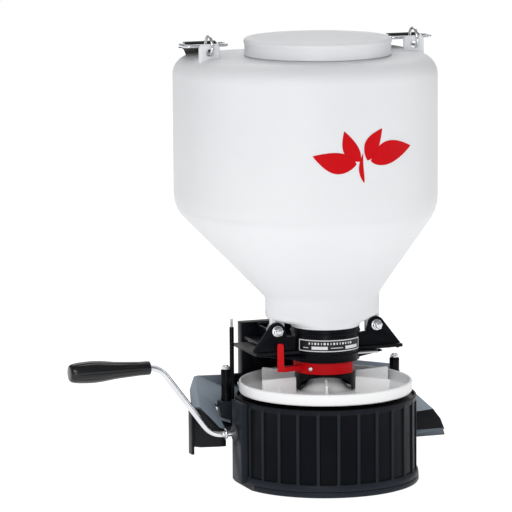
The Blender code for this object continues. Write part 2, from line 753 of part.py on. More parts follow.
def make_spine_screws():
    face = SPINE_FRONT + 3.5 + GAP
    for number, spot in enumerate(spine_screw_places(), start=1):
        outline = [(0, 103.0), (2.4, 103.0), (2.4, face), (4.8, face), (4.2, face + 2.6), (0, face + 2.6)]
        screw = turned(outline, "Y", spot, 14)
        to_object(screw, f"spine_screw_{number}", "bright_steel", (spot[0], face, spot[1]))


# ---------------------------------------------------------------- hopper and lid
def power_curve(angle, half_width, half_depth, power):
    """A point of a superellipse: power 2 is an ellipse, more is squarer and less is more pointed."""
    c, s = math.cos(angle), math.sin(angle)
    x = half_width * math.copysign(abs(c) ** (2.0 / power), c)
    y = half_depth * math.copysign(abs(s) ** (2.0 / power), s)
    return x, y


def body_ring(z, inset, count=40):
    """The hopper's section: a round front and a squarer back that lies against the wearer."""
    points = []
    for i in range(count):
        angle = 2.0 * math.pi * i / count
        front = math.sin(angle) < 0.0
        depth = (HOPPER_FRONT if front else HOPPER_BACK) - inset
        power = FRONT_POWER if front else BACK_POWER
        x, y = power_curve(angle, HOPPER_HALF_WIDTH - inset, depth, power)
        points.append(Vector((x, HOPPER_Y + y, z)))
    return points


def neck_ring(z, inset, count=40):
    points = []
    for i in range(count):
        angle = 2.0 * math.pi * i / count
        x, y = power_curve(angle, NECK_HALF_WIDTH - inset, NECK_HALF_DEPTH - inset, NECK_POWER)
        points.append(Vector((x, NECK_Y + y, z)))
    return points


def make_hopper():
    """One blow-moulded skin: outer rings from the spigot up to the mouth, then inner rings back down."""
    wall = HOPPER_WALL
    outer = [
        circle(0.0, 0.0, SPIGOT_RADIUS, 173.5),
        circle(0.0, 0.0, SPIGOT_RADIUS, BARREL_HIGH + GAP),
        circle(0.0, 0.0, BARREL_RADIUS, BARREL_HIGH + GAP),
        circle(0.0, 0.0, BARREL_RADIUS + 0.5, 184.5),
        neck_ring(NECK_LOW, 0.0),
        neck_ring(NECK_HIGH, 0.0),
        body_ring(CONE_TOP, 7.0),
        body_ring(CONE_TOP + 10.0, 1.5),
        body_ring(CONE_TOP + 22.0, 0.0),
        body_ring(SHOULDER_LOW, 0.0),
    ]
    bulge = HOPPER_TOP - SHOULDER_LOW
    for angle_deg in (30.0, 60.0, 90.0):
        angle = math.radians(angle_deg)
        outer.append(body_ring(SHOULDER_LOW + bulge * math.sin(angle), bulge * (1.0 - math.cos(angle))))
    outer.append(circle(0.0, MOUTH_Y, MOUTH_RADIUS + 4.0, HOPPER_TOP))
    outer.append(circle(0.0, MOUTH_Y, MOUTH_RADIUS, HOPPER_TOP + 1.0))
    outer.append(circle(0.0, MOUTH_Y, MOUTH_RADIUS, MOUTH_TOP))
    inner = [
        circle(0.0, MOUTH_Y, MOUTH_RADIUS - wall, MOUTH_TOP),
        circle(0.0, MOUTH_Y, MOUTH_RADIUS - wall, HOPPER_TOP - wall),
        body_ring(HOPPER_TOP - wall, bulge + wall),
        body_ring(SHOULDER_LOW, wall),
        body_ring(CONE_TOP + 22.0, wall),
        body_ring(CONE_TOP + 3.0, 7.0 + wall),
        neck_ring(NECK_HIGH + 1.0, wall),
        neck_ring(NECK_LOW + 3.0, wall),
        circle(0.0, 0.0, SPIGOT_RADIUS - wall, 186.0),
        circle(0.0, 0.0, SPIGOT_RADIUS - wall, 173.5),
    ]
    hopper = to_object(loft(outer + inner, True), "hopper", "white_poly")
    adds = []
    for side in (-1.0, 1.0):
        top = [(side * (LUG_X - LUG_HALF_WIDTH), 480.0)]
        rounded = arc((LUG_X, LUG_TOP - 7.0), LUG_HALF_WIDTH, 180.0, 0.0, 10)
        top += [(side * x, LUG_TOP - 7.0 + (z - LUG_TOP + 7.0) * 7.0 / LUG_HALF_WIDTH) for x, z in rounded]
        top += [(side * (LUG_X + LUG_HALF_WIDTH), 482.0)]
        adds.append(tool(prism(top, LUG_Y - LUG_HALF_DEPTH, LUG_Y + LUG_HALF_DEPTH, "Y")))
        near, far = sorted((side * 50.0, side * 67.0))
        adds.append(tool(block((near, EAR_BACK + GAP, 171.0), (far, 5.3, NECK_LOW + 2.0))))
    combine(hopper, adds, "UNION")
    cuts = []
    for side in (-1.0, 1.0):
        cuts.append(bore("Y", (side * LUG_X, LUG_Z), 4.2, 20.0, 60.0, 16))
        cuts.append(bore("Y", (side * EAR_X, EAR_Z), BOLT_RADIUS + GAP, -10.0, 20.0, 16))
    return combine(hopper, cuts, "DIFFERENCE")


def make_lid():
    inner = LID_RADIUS - 2.7
    roof = LID_EDGE - 2.7
    outline = [
        (inner, LID_LOW),
        (LID_RADIUS, LID_LOW),
        (LID_RADIUS, LID_EDGE - 1.5),
        (LID_RADIUS - 1.8, LID_EDGE),
        (50.0, LID_CROWN - 1.2),
        (0, LID_CROWN),
        (0, roof + 4.0),
        (50.0, roof + 3.0),
        (inner, roof - 1.0),
    ]
    to_object(turned(outline, centre=(0.0, MOUTH_Y)), "lid", "white_poly", (0.0, MOUTH_Y, LID_LOW))
    low, high = 495.0, 500.0
    seal = [(MOUTH_RADIUS + 0.4, low), (inner - 0.4, low), (inner - 0.4, high), (MOUTH_RADIUS + 0.4, high)]
    to_object(turned(seal, centre=(0.0, MOUTH_Y)), "lid_seal", "grey_rubber", (0.0, MOUTH_Y, 495.0))


# ---------------------------------------------------------------- shield
def shield_rows():
    """Points across the shield, left to right; each row runs from the lip back and up the rear wall."""
    front = SHIELD_FRONT
    return [
        [(-152, 32, 44), (-152, 32, 86), (-151.5, 34, 90),
         (-140, 75, 103), (-125, 107, 108), (-121, 112, 110)],
        [(-145, 24, 44), (-145, 24, 87), (-144.5, 26, 91),
         (-133, 70, 102), (-117, 110, 108), (-116, 114, 110.5)],
        [(-125, front, 45), (-125, front, 60), (-124, 16, 67),
         (-108, 62, 84), (-88, 112, 97), (-87.5, 117, 109)],
        [(-104, front, 45), (-104, front, 52), (-103, 16, 60),
         (-90, 64, 78), (-63, 118, 93), (-63, 124.5, 108)],
        [(0, front, 45), (0, front, 52), (0, 16, 60),
         (0, 62, 76), (0, 120, 88), (0, 125, 110)],
        [(104, front, 45), (104, front, 55), (104, front + 1, 67),
         (98, 69, 79), (80, 114, 95), (78, 123, 115)],
        [(155, front, 45), (150, front, 58), (141, front + 1, 70),
         (139, 69, 80.6), (137, 106, 97), (137, 119, 106)],
    ]


def make_shield():
    """A thin moulded scoop around the drum's sides and back that keeps granules off the wearer."""
    wall = SHIELD_WALL
    shifts = [(0, wall, 0), (0, wall, 0), (0, wall, -wall), (0, 0, -wall), (0, wall, -wall), (0, wall, 0)]
    rings = []
    for row in shield_rows():
        points = [Vector(point) for point in row]
        backs = [point + Vector(shift) for point, shift in zip(points, shifts)]
        rings.append(points + list(reversed(backs)))
    skin = loft(rings, False)
    bmesh.ops.triangulate(skin, faces=skin.faces)
    shield = to_object(skin, "body_shield", "black_plastic")
    adds = [tool(block((-153.6, 29.5, 35.0), (-150.6, 41.0, 88.0)))]
    lip = [(9.5, 40.0), (11.5, 39.0), (17.5, 45.5), (16.0, 47.5), (15.0, 46.5)]
    adds.append(tool(prism(lip, 100.0, 153.0, "X")))
    combine(shield, adds, "UNION")
    clear = BASE_RADIUS + 2.5
    spine_clear = SPINE_HALF_WIDTH + 1.5
    cuts = [
        tool(turned([(0, -5.0), (clear, -5.0), (clear, 150.0), (0, 150.0)], count=64)),
        tool(block((-117.0, -32.0, 20.0), (-90.0, 32.0, 110.0))),
        tool(block((-spine_clear, 80.0, 10.0), (spine_clear, SPINE_BACK + 1.0, 190.0))),
    ]
    for side in (-1.0, 1.0):
        near, far = sorted((side * 80.0, side * 116.0))
        cuts.append(tool(block((near, POST_Y - 10.5, 50.0), (far, POST_Y + 10.5, 140.0))))
    return combine(shield, cuts, "DIFFERENCE")


# ---------------------------------------------------------------- strap hardware
def make_hooks():
    for side, word in ((-1.0, "left"), (1.0, "right")):
        x = side * LUG_X
        axis = (x, LUG_Y, LUG_Z)
        link = [(x, 28.5, LUG_Z), (x, 27.5, 506.0), (x, 31.0, 514.0), (x, 38.0, 516.6), (x, 46.0, 514.0),
                (x, 50.5, 506.0), (x, 48.0, 499.5), (x, 43.0, LUG_Z)]
        to_object(wire(link, 1.7, 8, True), f"hook_{word}", "bright_steel", axis)
        low, high, near, far = x - 25.0, x + 25.0, 44.6, 70.0
        loop = []
        for cx, cy, start in ((high, far, 0.0), (low, far, 90.0), (low, near, 180.0), (high, near, 270.0)):
            inward_x = 5.0 if cx == low else -5.0
            inward_y = 5.0 if cy == near else -5.0
            for u, v in arc((cx + inward_x, cy + inward_y), 5.0, start, start + 90.0, 3):
                loop.append((u, v, 505.0))
        to_object(wire(loop, 1.9, 8, True), f"strap_ring_{word}", "bright_steel", axis)


def strap_half():
    """Centre line of the strap from one ring down to the middle, with how far it has twisted there."""
    return [
        ((125.5, 76.5, 504.0), 0.0),
        ((123.5, 92.0, 500.0), 0.0),
        ((108.0, 120.0, 497.5), 0.0),
        ((97.0, 146.0, 494.0), 0.0),
        ((92.0, 160.0, 478.0), 0.0),
        ((86.0, 165.0, 440.0), 0.0),
        ((76.0, 169.0, 395.0), 40.0),
        ((64.0, 172.0, 350.0), 80.0),
        ((44.0, 174.0, 295.0), 90.0),
        ((20.0, 174.0, 263.0), 90.0),
        ((0.0, 174.0, 255.0), 90.0),
    ]


def make_strap():
    half = strap_half()
    path = [((-x, y, z), turn) for (x, y, z), turn in half] + list(reversed(half))[1:]
    rings = []
    for i, (point, turn_deg) in enumerate(path):
        before = Vector(path[max(i - 1, 0)][0])
        after = Vector(path[min(i + 1, len(path) - 1)][0])
        along = (after - before).normalized()
        turn = math.radians(turn_deg)
        mirror = -1.0 if i >= len(half) else 1.0
        across = Vector((math.cos(turn), mirror * math.sin(turn), 0.0))
        if turn_deg == 90.0 and i >= len(half) - 1:
            across = Vector((0.0, 1.0, 0.0))
        across = (across - along * across.dot(along)).normalized()
        wide = across * STRAP_WIDTH / 2.0
        thick = along.cross(across).normalized() * STRAP_THICKNESS / 2.0
        middle = Vector(point)
        corners = ((-1, -1), (1, -1), (1, 1), (-1, 1))
        rings.append([middle + wide * right + thick * up for right, up in corners])
    to_object(loft(rings, False), "shoulder_strap", "black_webbing", (0.0, 174.0, 255.0))


def main():
    clear_scene()
    make_drum()
    make_base()
    make_base_screws()
    make_posts()
    make_stay()
    make_pinion()
    make_crank_gear()
    make_shafts()
    make_crank()
    make_impeller()
    make_agitator()
    make_drop_cup()
    make_direction_ring()
    make_direction_screw()
    make_gate()
    make_frame_head()
    make_label()
    make_ear_bolts()
    make_spine()
    make_spine_screws()
    make_hopper()
    make_lid()
    make_shield()
    make_hooks()
    make_strap()


main()
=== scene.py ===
"""Looks of a chest-carried, hand-cranked garden spreader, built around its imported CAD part."""
import math

import bmesh
import bpy
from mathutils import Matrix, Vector


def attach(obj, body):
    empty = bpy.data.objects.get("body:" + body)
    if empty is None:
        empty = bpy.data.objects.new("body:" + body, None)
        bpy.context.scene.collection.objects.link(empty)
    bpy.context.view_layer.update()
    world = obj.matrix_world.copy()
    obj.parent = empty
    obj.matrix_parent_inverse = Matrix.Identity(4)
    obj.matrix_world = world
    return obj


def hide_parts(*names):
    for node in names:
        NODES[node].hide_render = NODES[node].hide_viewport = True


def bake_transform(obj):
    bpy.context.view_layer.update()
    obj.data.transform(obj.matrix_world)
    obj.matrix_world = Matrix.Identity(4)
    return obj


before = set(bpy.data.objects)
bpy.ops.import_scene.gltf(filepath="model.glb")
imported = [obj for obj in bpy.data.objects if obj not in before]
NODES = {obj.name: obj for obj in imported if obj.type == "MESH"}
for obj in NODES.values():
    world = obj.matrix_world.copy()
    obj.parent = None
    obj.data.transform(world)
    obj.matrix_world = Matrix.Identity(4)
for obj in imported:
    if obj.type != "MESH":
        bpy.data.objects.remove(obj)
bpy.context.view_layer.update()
MM = 0.001
FINE = 128

# Driving dimensions, in millimetres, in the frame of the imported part.
HALF_WIDTH, FRONT, BACK, CENTRE_Y = 148.0, 147.0, 95.0, 55.0
MOUTH_Y, MOUTH_RADIUS = 20.0, 79.0
LUG_X, LUG_Z, HANG_Z = 125.5, 497.5, 505.0
SHOULDER_LOW, SHOULDER_ROUND = 467.0, 24.0
NECK_Y, NECK_LOW, NECK_HIGH, CONE_TOP = 9.0, 192.0, 216.0, 311.5
DRUM_INSIDE, BASE_RADIUS, RIBS = 100.5, 107.5, 28
CRANK_Z, GRIP_Z = 62.8, 145.8
POST_X, POST_Y = 105.0, 48.0
FACING = -20.0
BAND_RADIUS = 37.0
LABEL_START, LABEL_END, LABEL_LOW, LABEL_HIGH = -159.0, -41.0, 156.2, 170.6
STRAP_HALF_WIDTH, STRAP_HALF_THICK, STRAP_COLUMNS = 18.6, 0.85, 12


# ---------------------------------------------------------------- materials
def new_material(name):
    made = bpy.data.materials.new(name)
    made.use_nodes = True
    tree = made.node_tree
    return made, tree, tree.nodes["Principled BSDF"]


def noise(tree, scale, detail=3.0, source="Object", stretch=(1.0, 1.0, 1.0)):
    coords = tree.nodes.new("ShaderNodeTexCoord")
    mapping = tree.nodes.new("ShaderNodeMapping")
    mapping.inputs["Scale"].default_value = stretch
    texture = tree.nodes.new("ShaderNodeTexNoise")
    texture.inputs["Scale"].default_value = scale
    texture.inputs["Detail"].default_value = detail
    tree.links.new(coords.outputs[source], mapping.inputs["Vector"])
    tree.links.new(mapping.outputs["Vector"], texture.inputs["Vector"])
    return texture.outputs["Fac"]


def ramp(tree, factor, low, high, start=0.3, end=0.7):
    """A noise value turned into a value or a colour between low and high."""
    colour = isinstance(low, tuple)
    mix = tree.nodes.new("ShaderNodeMix" if colour else "ShaderNodeMapRange")
    if colour:
        mix.data_type = "RGBA"
        limit = tree.nodes.new("ShaderNodeMapRange")
        limit.inputs["From Min"].default_value = start
        limit.inputs["From Max"].default_value = end
        tree.links.new(factor, limit.inputs["Value"])
        tree.links.new(limit.outputs["Result"], mix.inputs[0])
        mix.inputs[6].default_value = (*low, 1.0)
        mix.inputs[7].default_value = (*high, 1.0)
        return mix.outputs[2]
    mix.inputs["From Min"].default_value = start
    mix.inputs["From Max"].default_value = end
    mix.inputs["To Min"].default_value = low
    mix.inputs["To Max"].default_value = high
    tree.links.new(factor, mix.inputs["Value"])
    return mix.outputs["Result"]


def bump(tree, shader, height, strength, distance):
    made = tree.nodes.new("ShaderNodeBump")
    made.inputs["Strength"].default_value = strength
    made.inputs["Distance"].default_value = distance
    tree.links.new(height, made.inputs["Height"])
    tree.links.new(made.outputs["Normal"], shader.inputs["Normal"])


def plastic(
    name, dark, light, rough, grain=900.0, grain_depth=0.00004, patch=9.0, through=0.0, gloss=0.0, shine=0.5
):
    """Moulded plastic: slow colour patches, uneven gloss and a fine mould grain."""
    made, tree, shader = new_material(name)
    tree.links.new(ramp(tree, noise(tree, patch), dark, light), shader.inputs["Base Color"])
    tree.links.new(ramp(tree, noise(tree, patch * 3.0, 5.0), *rough), shader.inputs["Roughness"])
    bump(tree, shader, noise(tree, grain, 2.0), 0.35, grain_depth)
    shader.inputs["Specular IOR Level"].default_value = shine
    if through:
        shader.inputs["Subsurface Weight"].default_value = through
        shader.inputs["Subsurface Radius"].default_value = (1.0, 1.0, 1.0)
        shader.inputs["Subsurface Scale"].default_value = 0.012
    if gloss:
        shader.inputs["Coat Weight"].default_value = gloss
        shader.inputs["Coat Roughness"].default_value = 0.12
    return made


def metal(name, dark, light, rough, stretch=(1.0, 1.0, 1.0), grain=260.0):
    """Plated or drawn metal: fine scratches along one direction and slightly uneven tone."""
    made, tree, shader = new_material(name)
    shader.inputs["Metallic"].default_value = 1.0
    tree.links.new(ramp(tree, noise(tree, 40.0, 4.0), dark, light), shader.inputs["Base Color"])
    scratches = noise(tree, grain, 4.0, "Object", stretch)
    tree.links.new(ramp(tree, scratches, *rough), shader.inputs["Roughness"])
    bump(tree, shader, noise(tree, grain, 3.0, "Object", stretch), 0.2, 0.00003)
    return made


def webbing(name, dark, light):
    """Woven webbing: diagonal twill rows from the strip's own U (across) and V (along) coordinates."""
    made, tree, shader = new_material(name)
    coords = tree.nodes.new("ShaderNodeTexCoord")
    waves = []
    for tilt in (0.9, -0.9):
        mapping = tree.nodes.new("ShaderNodeMapping")
        mapping.inputs["Rotation"].default_value = (0.0, 0.0, tilt)
        wave = tree.nodes.new("ShaderNodeTexWave")
        wave.inputs["Scale"].default_value = 260.0
        wave.inputs["Distortion"].default_value = 0.4
        tree.links.new(coords.outputs["UV"], mapping.inputs["Vector"])
        tree.links.new(mapping.outputs["Vector"], wave.inputs["Vector"])
        waves.append(wave.outputs["Fac"])
    both = tree.nodes.new("ShaderNodeMath")
    both.operation = "MULTIPLY"
    tree.links.new(waves[0], both.inputs[0])
    tree.links.new(waves[1], both.inputs[1])
    tree.links.new(ramp(tree, both.outputs["Value"], dark, light, 0.0, 0.8), shader.inputs["Base Color"])
    tree.links.new(ramp(tree, noise(tree, 300.0), 0.75, 0.95), shader.inputs["Roughness"])
    shader.inputs["Sheen Weight"].default_value = 0.25
    bump(tree, shader, both.outputs["Value"], 0.9, 0.0004)
    return made


def painted_edge_highlight(made, start_mm, end_mm, colour):
    """A painted highlight: a lighter colour where the part stands out from its upright axis (ribs, rims and
    lips), in place of light caught on them.
    """
    tree = made.node_tree
    shader = tree.nodes["Principled BSDF"]
    under = shader.inputs["Base Color"].links[0].from_socket
    coords = tree.nodes.new("ShaderNodeTexCoord")
    flat = tree.nodes.new("ShaderNodeMapping")
    flat.inputs["Scale"].default_value = (1.0, 1.0, 0.0)
    reach = tree.nodes.new("ShaderNodeVectorMath")
    reach.operation = "LENGTH"
    tree.links.new(coords.outputs["Object"], flat.inputs["Vector"])
    tree.links.new(flat.outputs["Vector"], reach.inputs[0])
    share = ramp(tree, reach.outputs["Value"], 0.0, 1.0, start_mm * MM, end_mm * MM)
    mix = tree.nodes.new("ShaderNodeMix")
    mix.data_type = "RGBA"
    tree.links.new(share, mix.inputs[0])
    tree.links.new(under, mix.inputs[6])
    mix.inputs[7].default_value = (*colour, 1.0)
    tree.links.new(mix.outputs[2], shader.inputs["Base Color"])
    return made


def painted_top_highlight(made, colour):
    """A painted highlight: pale grey mixed into the colour of the faces that look up, in place of light
    caught there.
    """
    tree = made.node_tree
    shader = tree.nodes["Principled BSDF"]
    under = shader.inputs["Base Color"].links[0].from_socket
    coords = tree.nodes.new("ShaderNodeTexCoord")
    parts = tree.nodes.new("ShaderNodeSeparateXYZ")
    tree.links.new(coords.outputs["Normal"], parts.inputs[0])
    mix = tree.nodes.new("ShaderNodeMix")
    mix.data_type = "RGBA"
    tree.links.new(ramp(tree, parts.outputs["Z"], 0.0, 1.0, 0.35, 0.65), mix.inputs[0])
    tree.links.new(under, mix.inputs[6])
    mix.inputs[7].default_value = (*colour, 1.0)
    tree.links.new(mix.outputs[2], shader.inputs["Base Color"])
    return made


BLACK = plastic("black_moulded", (0.0022, 0.0026, 0.0044), (0.0044, 0.0050, 0.0076), (0.26, 0.38), shine=0.10)
BLACK_WING = plastic(
    "black_wing", (0.0026, 0.0030, 0.0046), (0.0046, 0.0052, 0.0074), (0.36, 0.48), shine=0.2
)
# Painted highlight: pale grey on the shield's upward faces, in place of light caught from above.
painted_top_highlight(BLACK_WING, (0.250, 0.300, 0.355))
BLACK_DRUM = plastic(
    "black_drum", (0.0018, 0.0021, 0.0036), (0.0040, 0.0046, 0.0070), (0.30, 0.42), shine=0.06
)
# Painted highlight: a lighter colour on the drum's ribs, lip and base flare, in place of light caught on
# them.
painted_edge_highlight(BLACK_DRUM, 104.2, 105.2, (0.020, 0.024, 0.031))
GRIP_BLACK = plastic(
    "grip_black", (0.0020, 0.0023, 0.0034), (0.0040, 0.0046, 0.0062), (0.22, 0.34),
    grain=500.0, gloss=0.25, shine=0.3,
)
WHITE = plastic(
    "white_polyethylene", (0.80, 0.815, 0.84), (0.85, 0.86, 0.88), (0.40, 0.52),
    grain=650.0, grain_depth=0.00006, patch=6.0, through=0.12, shine=0.35,
)
LID_WHITE = plastic(
    "lid_polyethylene", (0.79, 0.80, 0.825), (0.83, 0.84, 0.86), (0.36, 0.46),
    grain=650.0, grain_depth=0.00006, patch=7.0, through=0.1,
)
NYLON = plastic(
    "white_nylon", (0.94, 0.945, 0.955), (0.96, 0.965, 0.97), (0.33, 0.45),
    grain=800.0, grain_depth=0.00005, patch=12.0,
)
RED = plastic("red_moulded", (0.50, 0.0012, 0.0045), (0.62, 0.0020, 0.0065), (0.40, 0.52), shine=0.12)
RED_PRINT = plastic(
    "red_print", (0.56, 0.0012, 0.0050), (0.62, 0.0020, 0.0065), (0.45, 0.55),
    grain=1500.0, grain_depth=0.00001, patch=20.0, shine=0.10,
)
LABEL_WHITE = plastic(
    "label_white", (0.74, 0.75, 0.76), (0.80, 0.81, 0.82), (0.30, 0.42),
    grain=1200.0, grain_depth=0.00001, patch=30.0,
)
LABEL_BLACK = plastic(
    "label_black", (0.004, 0.004, 0.006), (0.008, 0.008, 0.010), (0.30, 0.42),
    grain=1200.0, grain_depth=0.00001, patch=30.0, shine=0.3,
)
RUBBER = plastic("seal_rubber", (0.05, 0.05, 0.055), (0.09, 0.09, 0.095), (0.70, 0.85), grain=700.0)
GEAR = plastic("gear_nylon", (0.04, 0.04, 0.045), (0.07, 0.07, 0.075), (0.40, 0.55), grain=700.0)
STEEL = metal("bright_plated_steel", (0.66, 0.68, 0.71), (0.80, 0.81, 0.83), (0.14, 0.26))
ROD_STEEL = metal(
    "drawn_rod", (0.66, 0.68, 0.71), (0.80, 0.81, 0.83), (0.12, 0.24), stretch=(0.15, 1.0, 1.0)
)
GATE_STEEL = metal(
    "gate_sheet", (0.50, 0.51, 0.53), (0.66, 0.67, 0.69), (0.25, 0.40), stretch=(0.2, 1.0, 1.0), grain=300.0
)
BRONZE = metal("sintered_bronze", (0.42, 0.28, 0.13), (0.56, 0.39, 0.20), (0.35, 0.50), grain=700.0)
STRAP = webbing("black_webbing", (0.004, 0.004, 0.005), (0.020, 0.020, 0.023))


# ---------------------------------------------------------------- mesh helpers (millimetres, row frame)
def finish_piece(mesh_data, name, material, body, replaced=(), bevel=0.0, smooth_deg=40.0, segments=2):
    bmesh.ops.recalc_face_normals(mesh_data, faces=mesh_data.faces)
    for vert in mesh_data.verts:
        vert.co *= MM
    mesh = bpy.data.meshes.new(name)
    mesh_data.to_mesh(mesh)
    mesh_data.free()
    mesh.materials.append(material)
    thing = bpy.data.objects.new(name, mesh)
    bpy.context.scene.collection.objects.link(thing)
    dress(thing, bevel, smooth_deg, segments)
    if body:
        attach(thing, body)
    if replaced:
        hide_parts(*replaced)
    return thing


def dress(thing, bevel, smooth_deg=40.0, segments=2):
    """Rounds the sharp edges, applies it and shades the piece smooth."""
    if bevel:
        modifier = thing.modifiers.new("bevel", "BEVEL")
        modifier.width = bevel * MM
        modifier.segments = segments
        modifier.limit_method = "ANGLE"
        modifier.angle_limit = math.radians(32.0)
        bpy.context.view_layer.update()
        graph = bpy.context.evaluated_depsgraph_get()
        thing.data = bpy.data.meshes.new_from_object(thing.evaluated_get(graph))
        thing.modifiers.clear()
    thing.data.shade_smooth()
    thing.data.set_sharp_from_angle(angle=math.radians(smooth_deg))


def cut(thing, tools, operation="DIFFERENCE"):
    for mesh_data in tools:
        other = finish_piece(mesh_data, "cutter", thing.data.materials[0], None)
        modifier = thing.modifiers.new("cut", "BOOLEAN")
        modifier.operation = operation
        modifier.solver = "EXACT"
        modifier.object = other
        bpy.context.view_layer.update()
        graph = bpy.context.evaluated_depsgraph_get()
        thing.data = bpy.data.meshes.new_from_object(thing.evaluated_get(graph))
        thing.modifiers.clear()
        bpy.data.objects.remove(other)
    while len(thing.data.materials) > 1:
        thing.data.materials.pop()
    thing.data.polygons.foreach_set("material_index", [0] * len(thing.data.polygons))
    return thing


def place(axis, u, v, along):
    if axis == "Z":
        return Vector((u, v, along))
    if axis == "Y":
        return Vector((u, along, v))
    return Vector((along, u, v))


def loft(rings, closed=False):
    mesh_data = bmesh.new()
    rows = [[mesh_data.verts.new(point) for point in ring] for ring in rings]
    count = len(rows[0])
    pairs = list(zip(rows, rows[1:]))
    if closed:
        pairs.append((rows[-1], rows[0]))
    for low, high in pairs:
        for i in range(count):
            j = (i + 1) % count
            mesh_data.faces.new((low[i], low[j], high[j], high[i]))
    if not closed:
        mesh_data.faces.new(list(reversed(rows[0])))
        mesh_data.faces.new(rows[-1])
    return mesh_data


def circle(cx, cy, radius, z, count=FINE):
    turn = 2.0 * math.pi / count
    angles = [turn * i for i in range(count)]
    return [Vector((cx + radius * math.cos(angle), cy + radius * math.sin(angle), z)) for angle in angles]


def turned(outline, axis="Z", centre=(0.0, 0.0), count=96):
    mesh_data = bmesh.new()
    rows = []
    for radius, height in outline:
        row = []
        for i in range(1 if radius == 0 else count):
            angle = 2.0 * math.pi * i / count
            u = centre[0] + radius * math.cos(angle)
            v = centre[1] + radius * math.sin(angle)
            row.append(mesh_data.verts.new(place(axis, u, v, height)))
        rows.append(row)
    for low, high in zip(rows, rows[1:] + rows[:1]):
        if len(low) == 1 and len(high) == 1:
            continue
        for i in range(count):
            j = (i + 1) % count
            corners = [low[i % len(low)], low[j % len(low)], high[j % len(high)], high[i % len(high)]]
            mesh_data.faces.new(list(dict.fromkeys(corners)))
    return mesh_data


def prism(outline, low, high, axis="Z"):
    return loft([[place(axis, u, v, depth) for u, v in outline] for depth in (low, high)])


def block(low, high):
    outline = [(low[0], low[1]), (high[0], low[1]), (high[0], high[1]), (low[0], high[1])]
    return prism(outline, low[2], high[2])


def arc(centre, radius, start_deg, end_deg, steps):
    points = []
    for i in range(steps + 1):
        angle = math.radians(start_deg + (end_deg - start_deg) * i / steps)
        points.append((centre[0] + radius * math.cos(angle), centre[1] + radius * math.sin(angle)))
    return points


def polygon(count, radius, centre=(0.0, 0.0), turn_deg=0.0):
    return arc(centre, radius, turn_deg, turn_deg + 360.0, count)[:-1]


def rounded_path(corners, reach, steps=8):
    """Replaces each inner corner of a path by a round bend that starts this far before it."""
    points = [Vector(corners[0])]
    for i in range(1, len(corners) - 1):
        corner = Vector(corners[i])
        start = corner + (Vector(corners[i - 1]) - corner).normalized() * reach
        end = corner + (Vector(corners[i + 1]) - corner).normalized() * reach
        for k in range(steps + 1):
            t = k / steps
            points.append(start * (1 - t) ** 2 + corner * 2 * t * (1 - t) + end * t ** 2)
    points.append(Vector(corners[-1]))
    return points


def smooth_path(points, rounds=3, closed=False):
    """Corner cutting, so that a few guide points give a flowing line."""
    points = [Vector(point) for point in points]
    for _ in range(rounds):
        finer = [] if closed else [points[0]]
        last = len(points) if closed else len(points) - 1
        for i in range(last):
            a, b = points[i], points[(i + 1) % len(points)]
            finer += [a * 0.75 + b * 0.25, a * 0.25 + b * 0.75]
        if not closed:
            finer.append(points[-1])
        points = finer
    return points


def wire(points, radius, sides=16, closed=False):
    """A round wire along a path; its ends are domed a little when it is open."""
    points = [Vector(point) for point in points]
    last = len(points) - 1
    radii = [radius] * len(points)
    if not closed:
        start, end = (points[0] - points[1]).normalized(), (points[-1] - points[-2]).normalized()
        points = [points[0] + start * radius * 0.3] + points + [points[-1] + end * radius * 0.3]
        radii = [radius * 0.6] + radii + [radius * 0.6]
        last += 2
    rings = []
    side = None
    for i, point in enumerate(points):
        before = points[i - 1] if (i > 0 or closed) else point
        after = points[(i + 1) % len(points)] if (i < last or closed) else point
        along = (after - before).normalized()
        side = side or along.orthogonal().normalized()
        side = (side - along * side.dot(along)).normalized()
        other = along.cross(side)
        turn = 2.0 * math.pi / sides
        spokes = [side * math.cos(turn * k) + other * math.sin(turn * k) for k in range(sides)]
        rings.append([point + spoke * radii[i] for spoke in spokes])
    return loft(rings, closed)


def spun(mesh_data, angle_deg):
    c, s = math.cos(math.radians(angle_deg)), math.sin(math.radians(angle_deg))
    for vert in mesh_data.verts:
        x, y, z = vert.co
        vert.co = (x * c - y * s, x * s + y * c, z)
    return mesh_data


def merged(parts):
    """Several closed forms as one mesh."""
    whole = bmesh.new()
    for part in parts:
        mesh = bpy.data.meshes.new("part")
        part.to_mesh(mesh)
        part.free()
        whole.from_mesh(mesh)
        bpy.data.meshes.remove(mesh)
    return whole


def soften(rings, reach, steps=5):
    """Rounds a loft at its rings: reach holds how far from each ring its bend starts and ends."""
    out = []
    for i, ring in enumerate(rings):
        if not reach[i]:
            out.append(ring)
            continue
        before, after = rings[i - 1], rings[i + 1]
        for k in range(steps + 1):
            t = k / steps
            bent = []
            for a, b, c in zip(before, ring, after):
                start = b + (a - b) * min(0.49, reach[i] / max((a - b).length, 0.01))
                end = b + (c - b) * min(0.49, reach[i] / max((c - b).length, 0.01))
                bent.append(start * (1 - t) ** 2 + b * 2 * t * (1 - t) + end * t ** 2)
            out.append(bent)
    return out


def refined(node, material, body, bevel, extra=()):
    """A CAD node's own shape with its flat triangles merged, its edges rounded, and details joined to it."""
    mesh_data = bmesh.new()
    mesh_data.from_mesh(NODES[node].data)
    bmesh.ops.remove_doubles(mesh_data, verts=mesh_data.verts, dist=0.000002)
    flat = math.radians(0.6)
    bmesh.ops.dissolve_limit(mesh_data, angle_limit=flat, verts=mesh_data.verts, edges=list(mesh_data.edges))
    for vert in mesh_data.verts:
        vert.co /= MM
    return finish_piece(merged([mesh_data, *extra]), f"{node}_moulding", material, body, (node,), bevel)


# ---------------------------------------------------------------- hopper and lid
def power_curve(angle, half_width, half_depth, power):
    c, s = math.cos(angle), math.sin(angle)
    x = half_width * math.copysign(abs(c) ** (2.0 / power), c)
    return x, half_depth * math.copysign(abs(s) ** (2.0 / power), s)


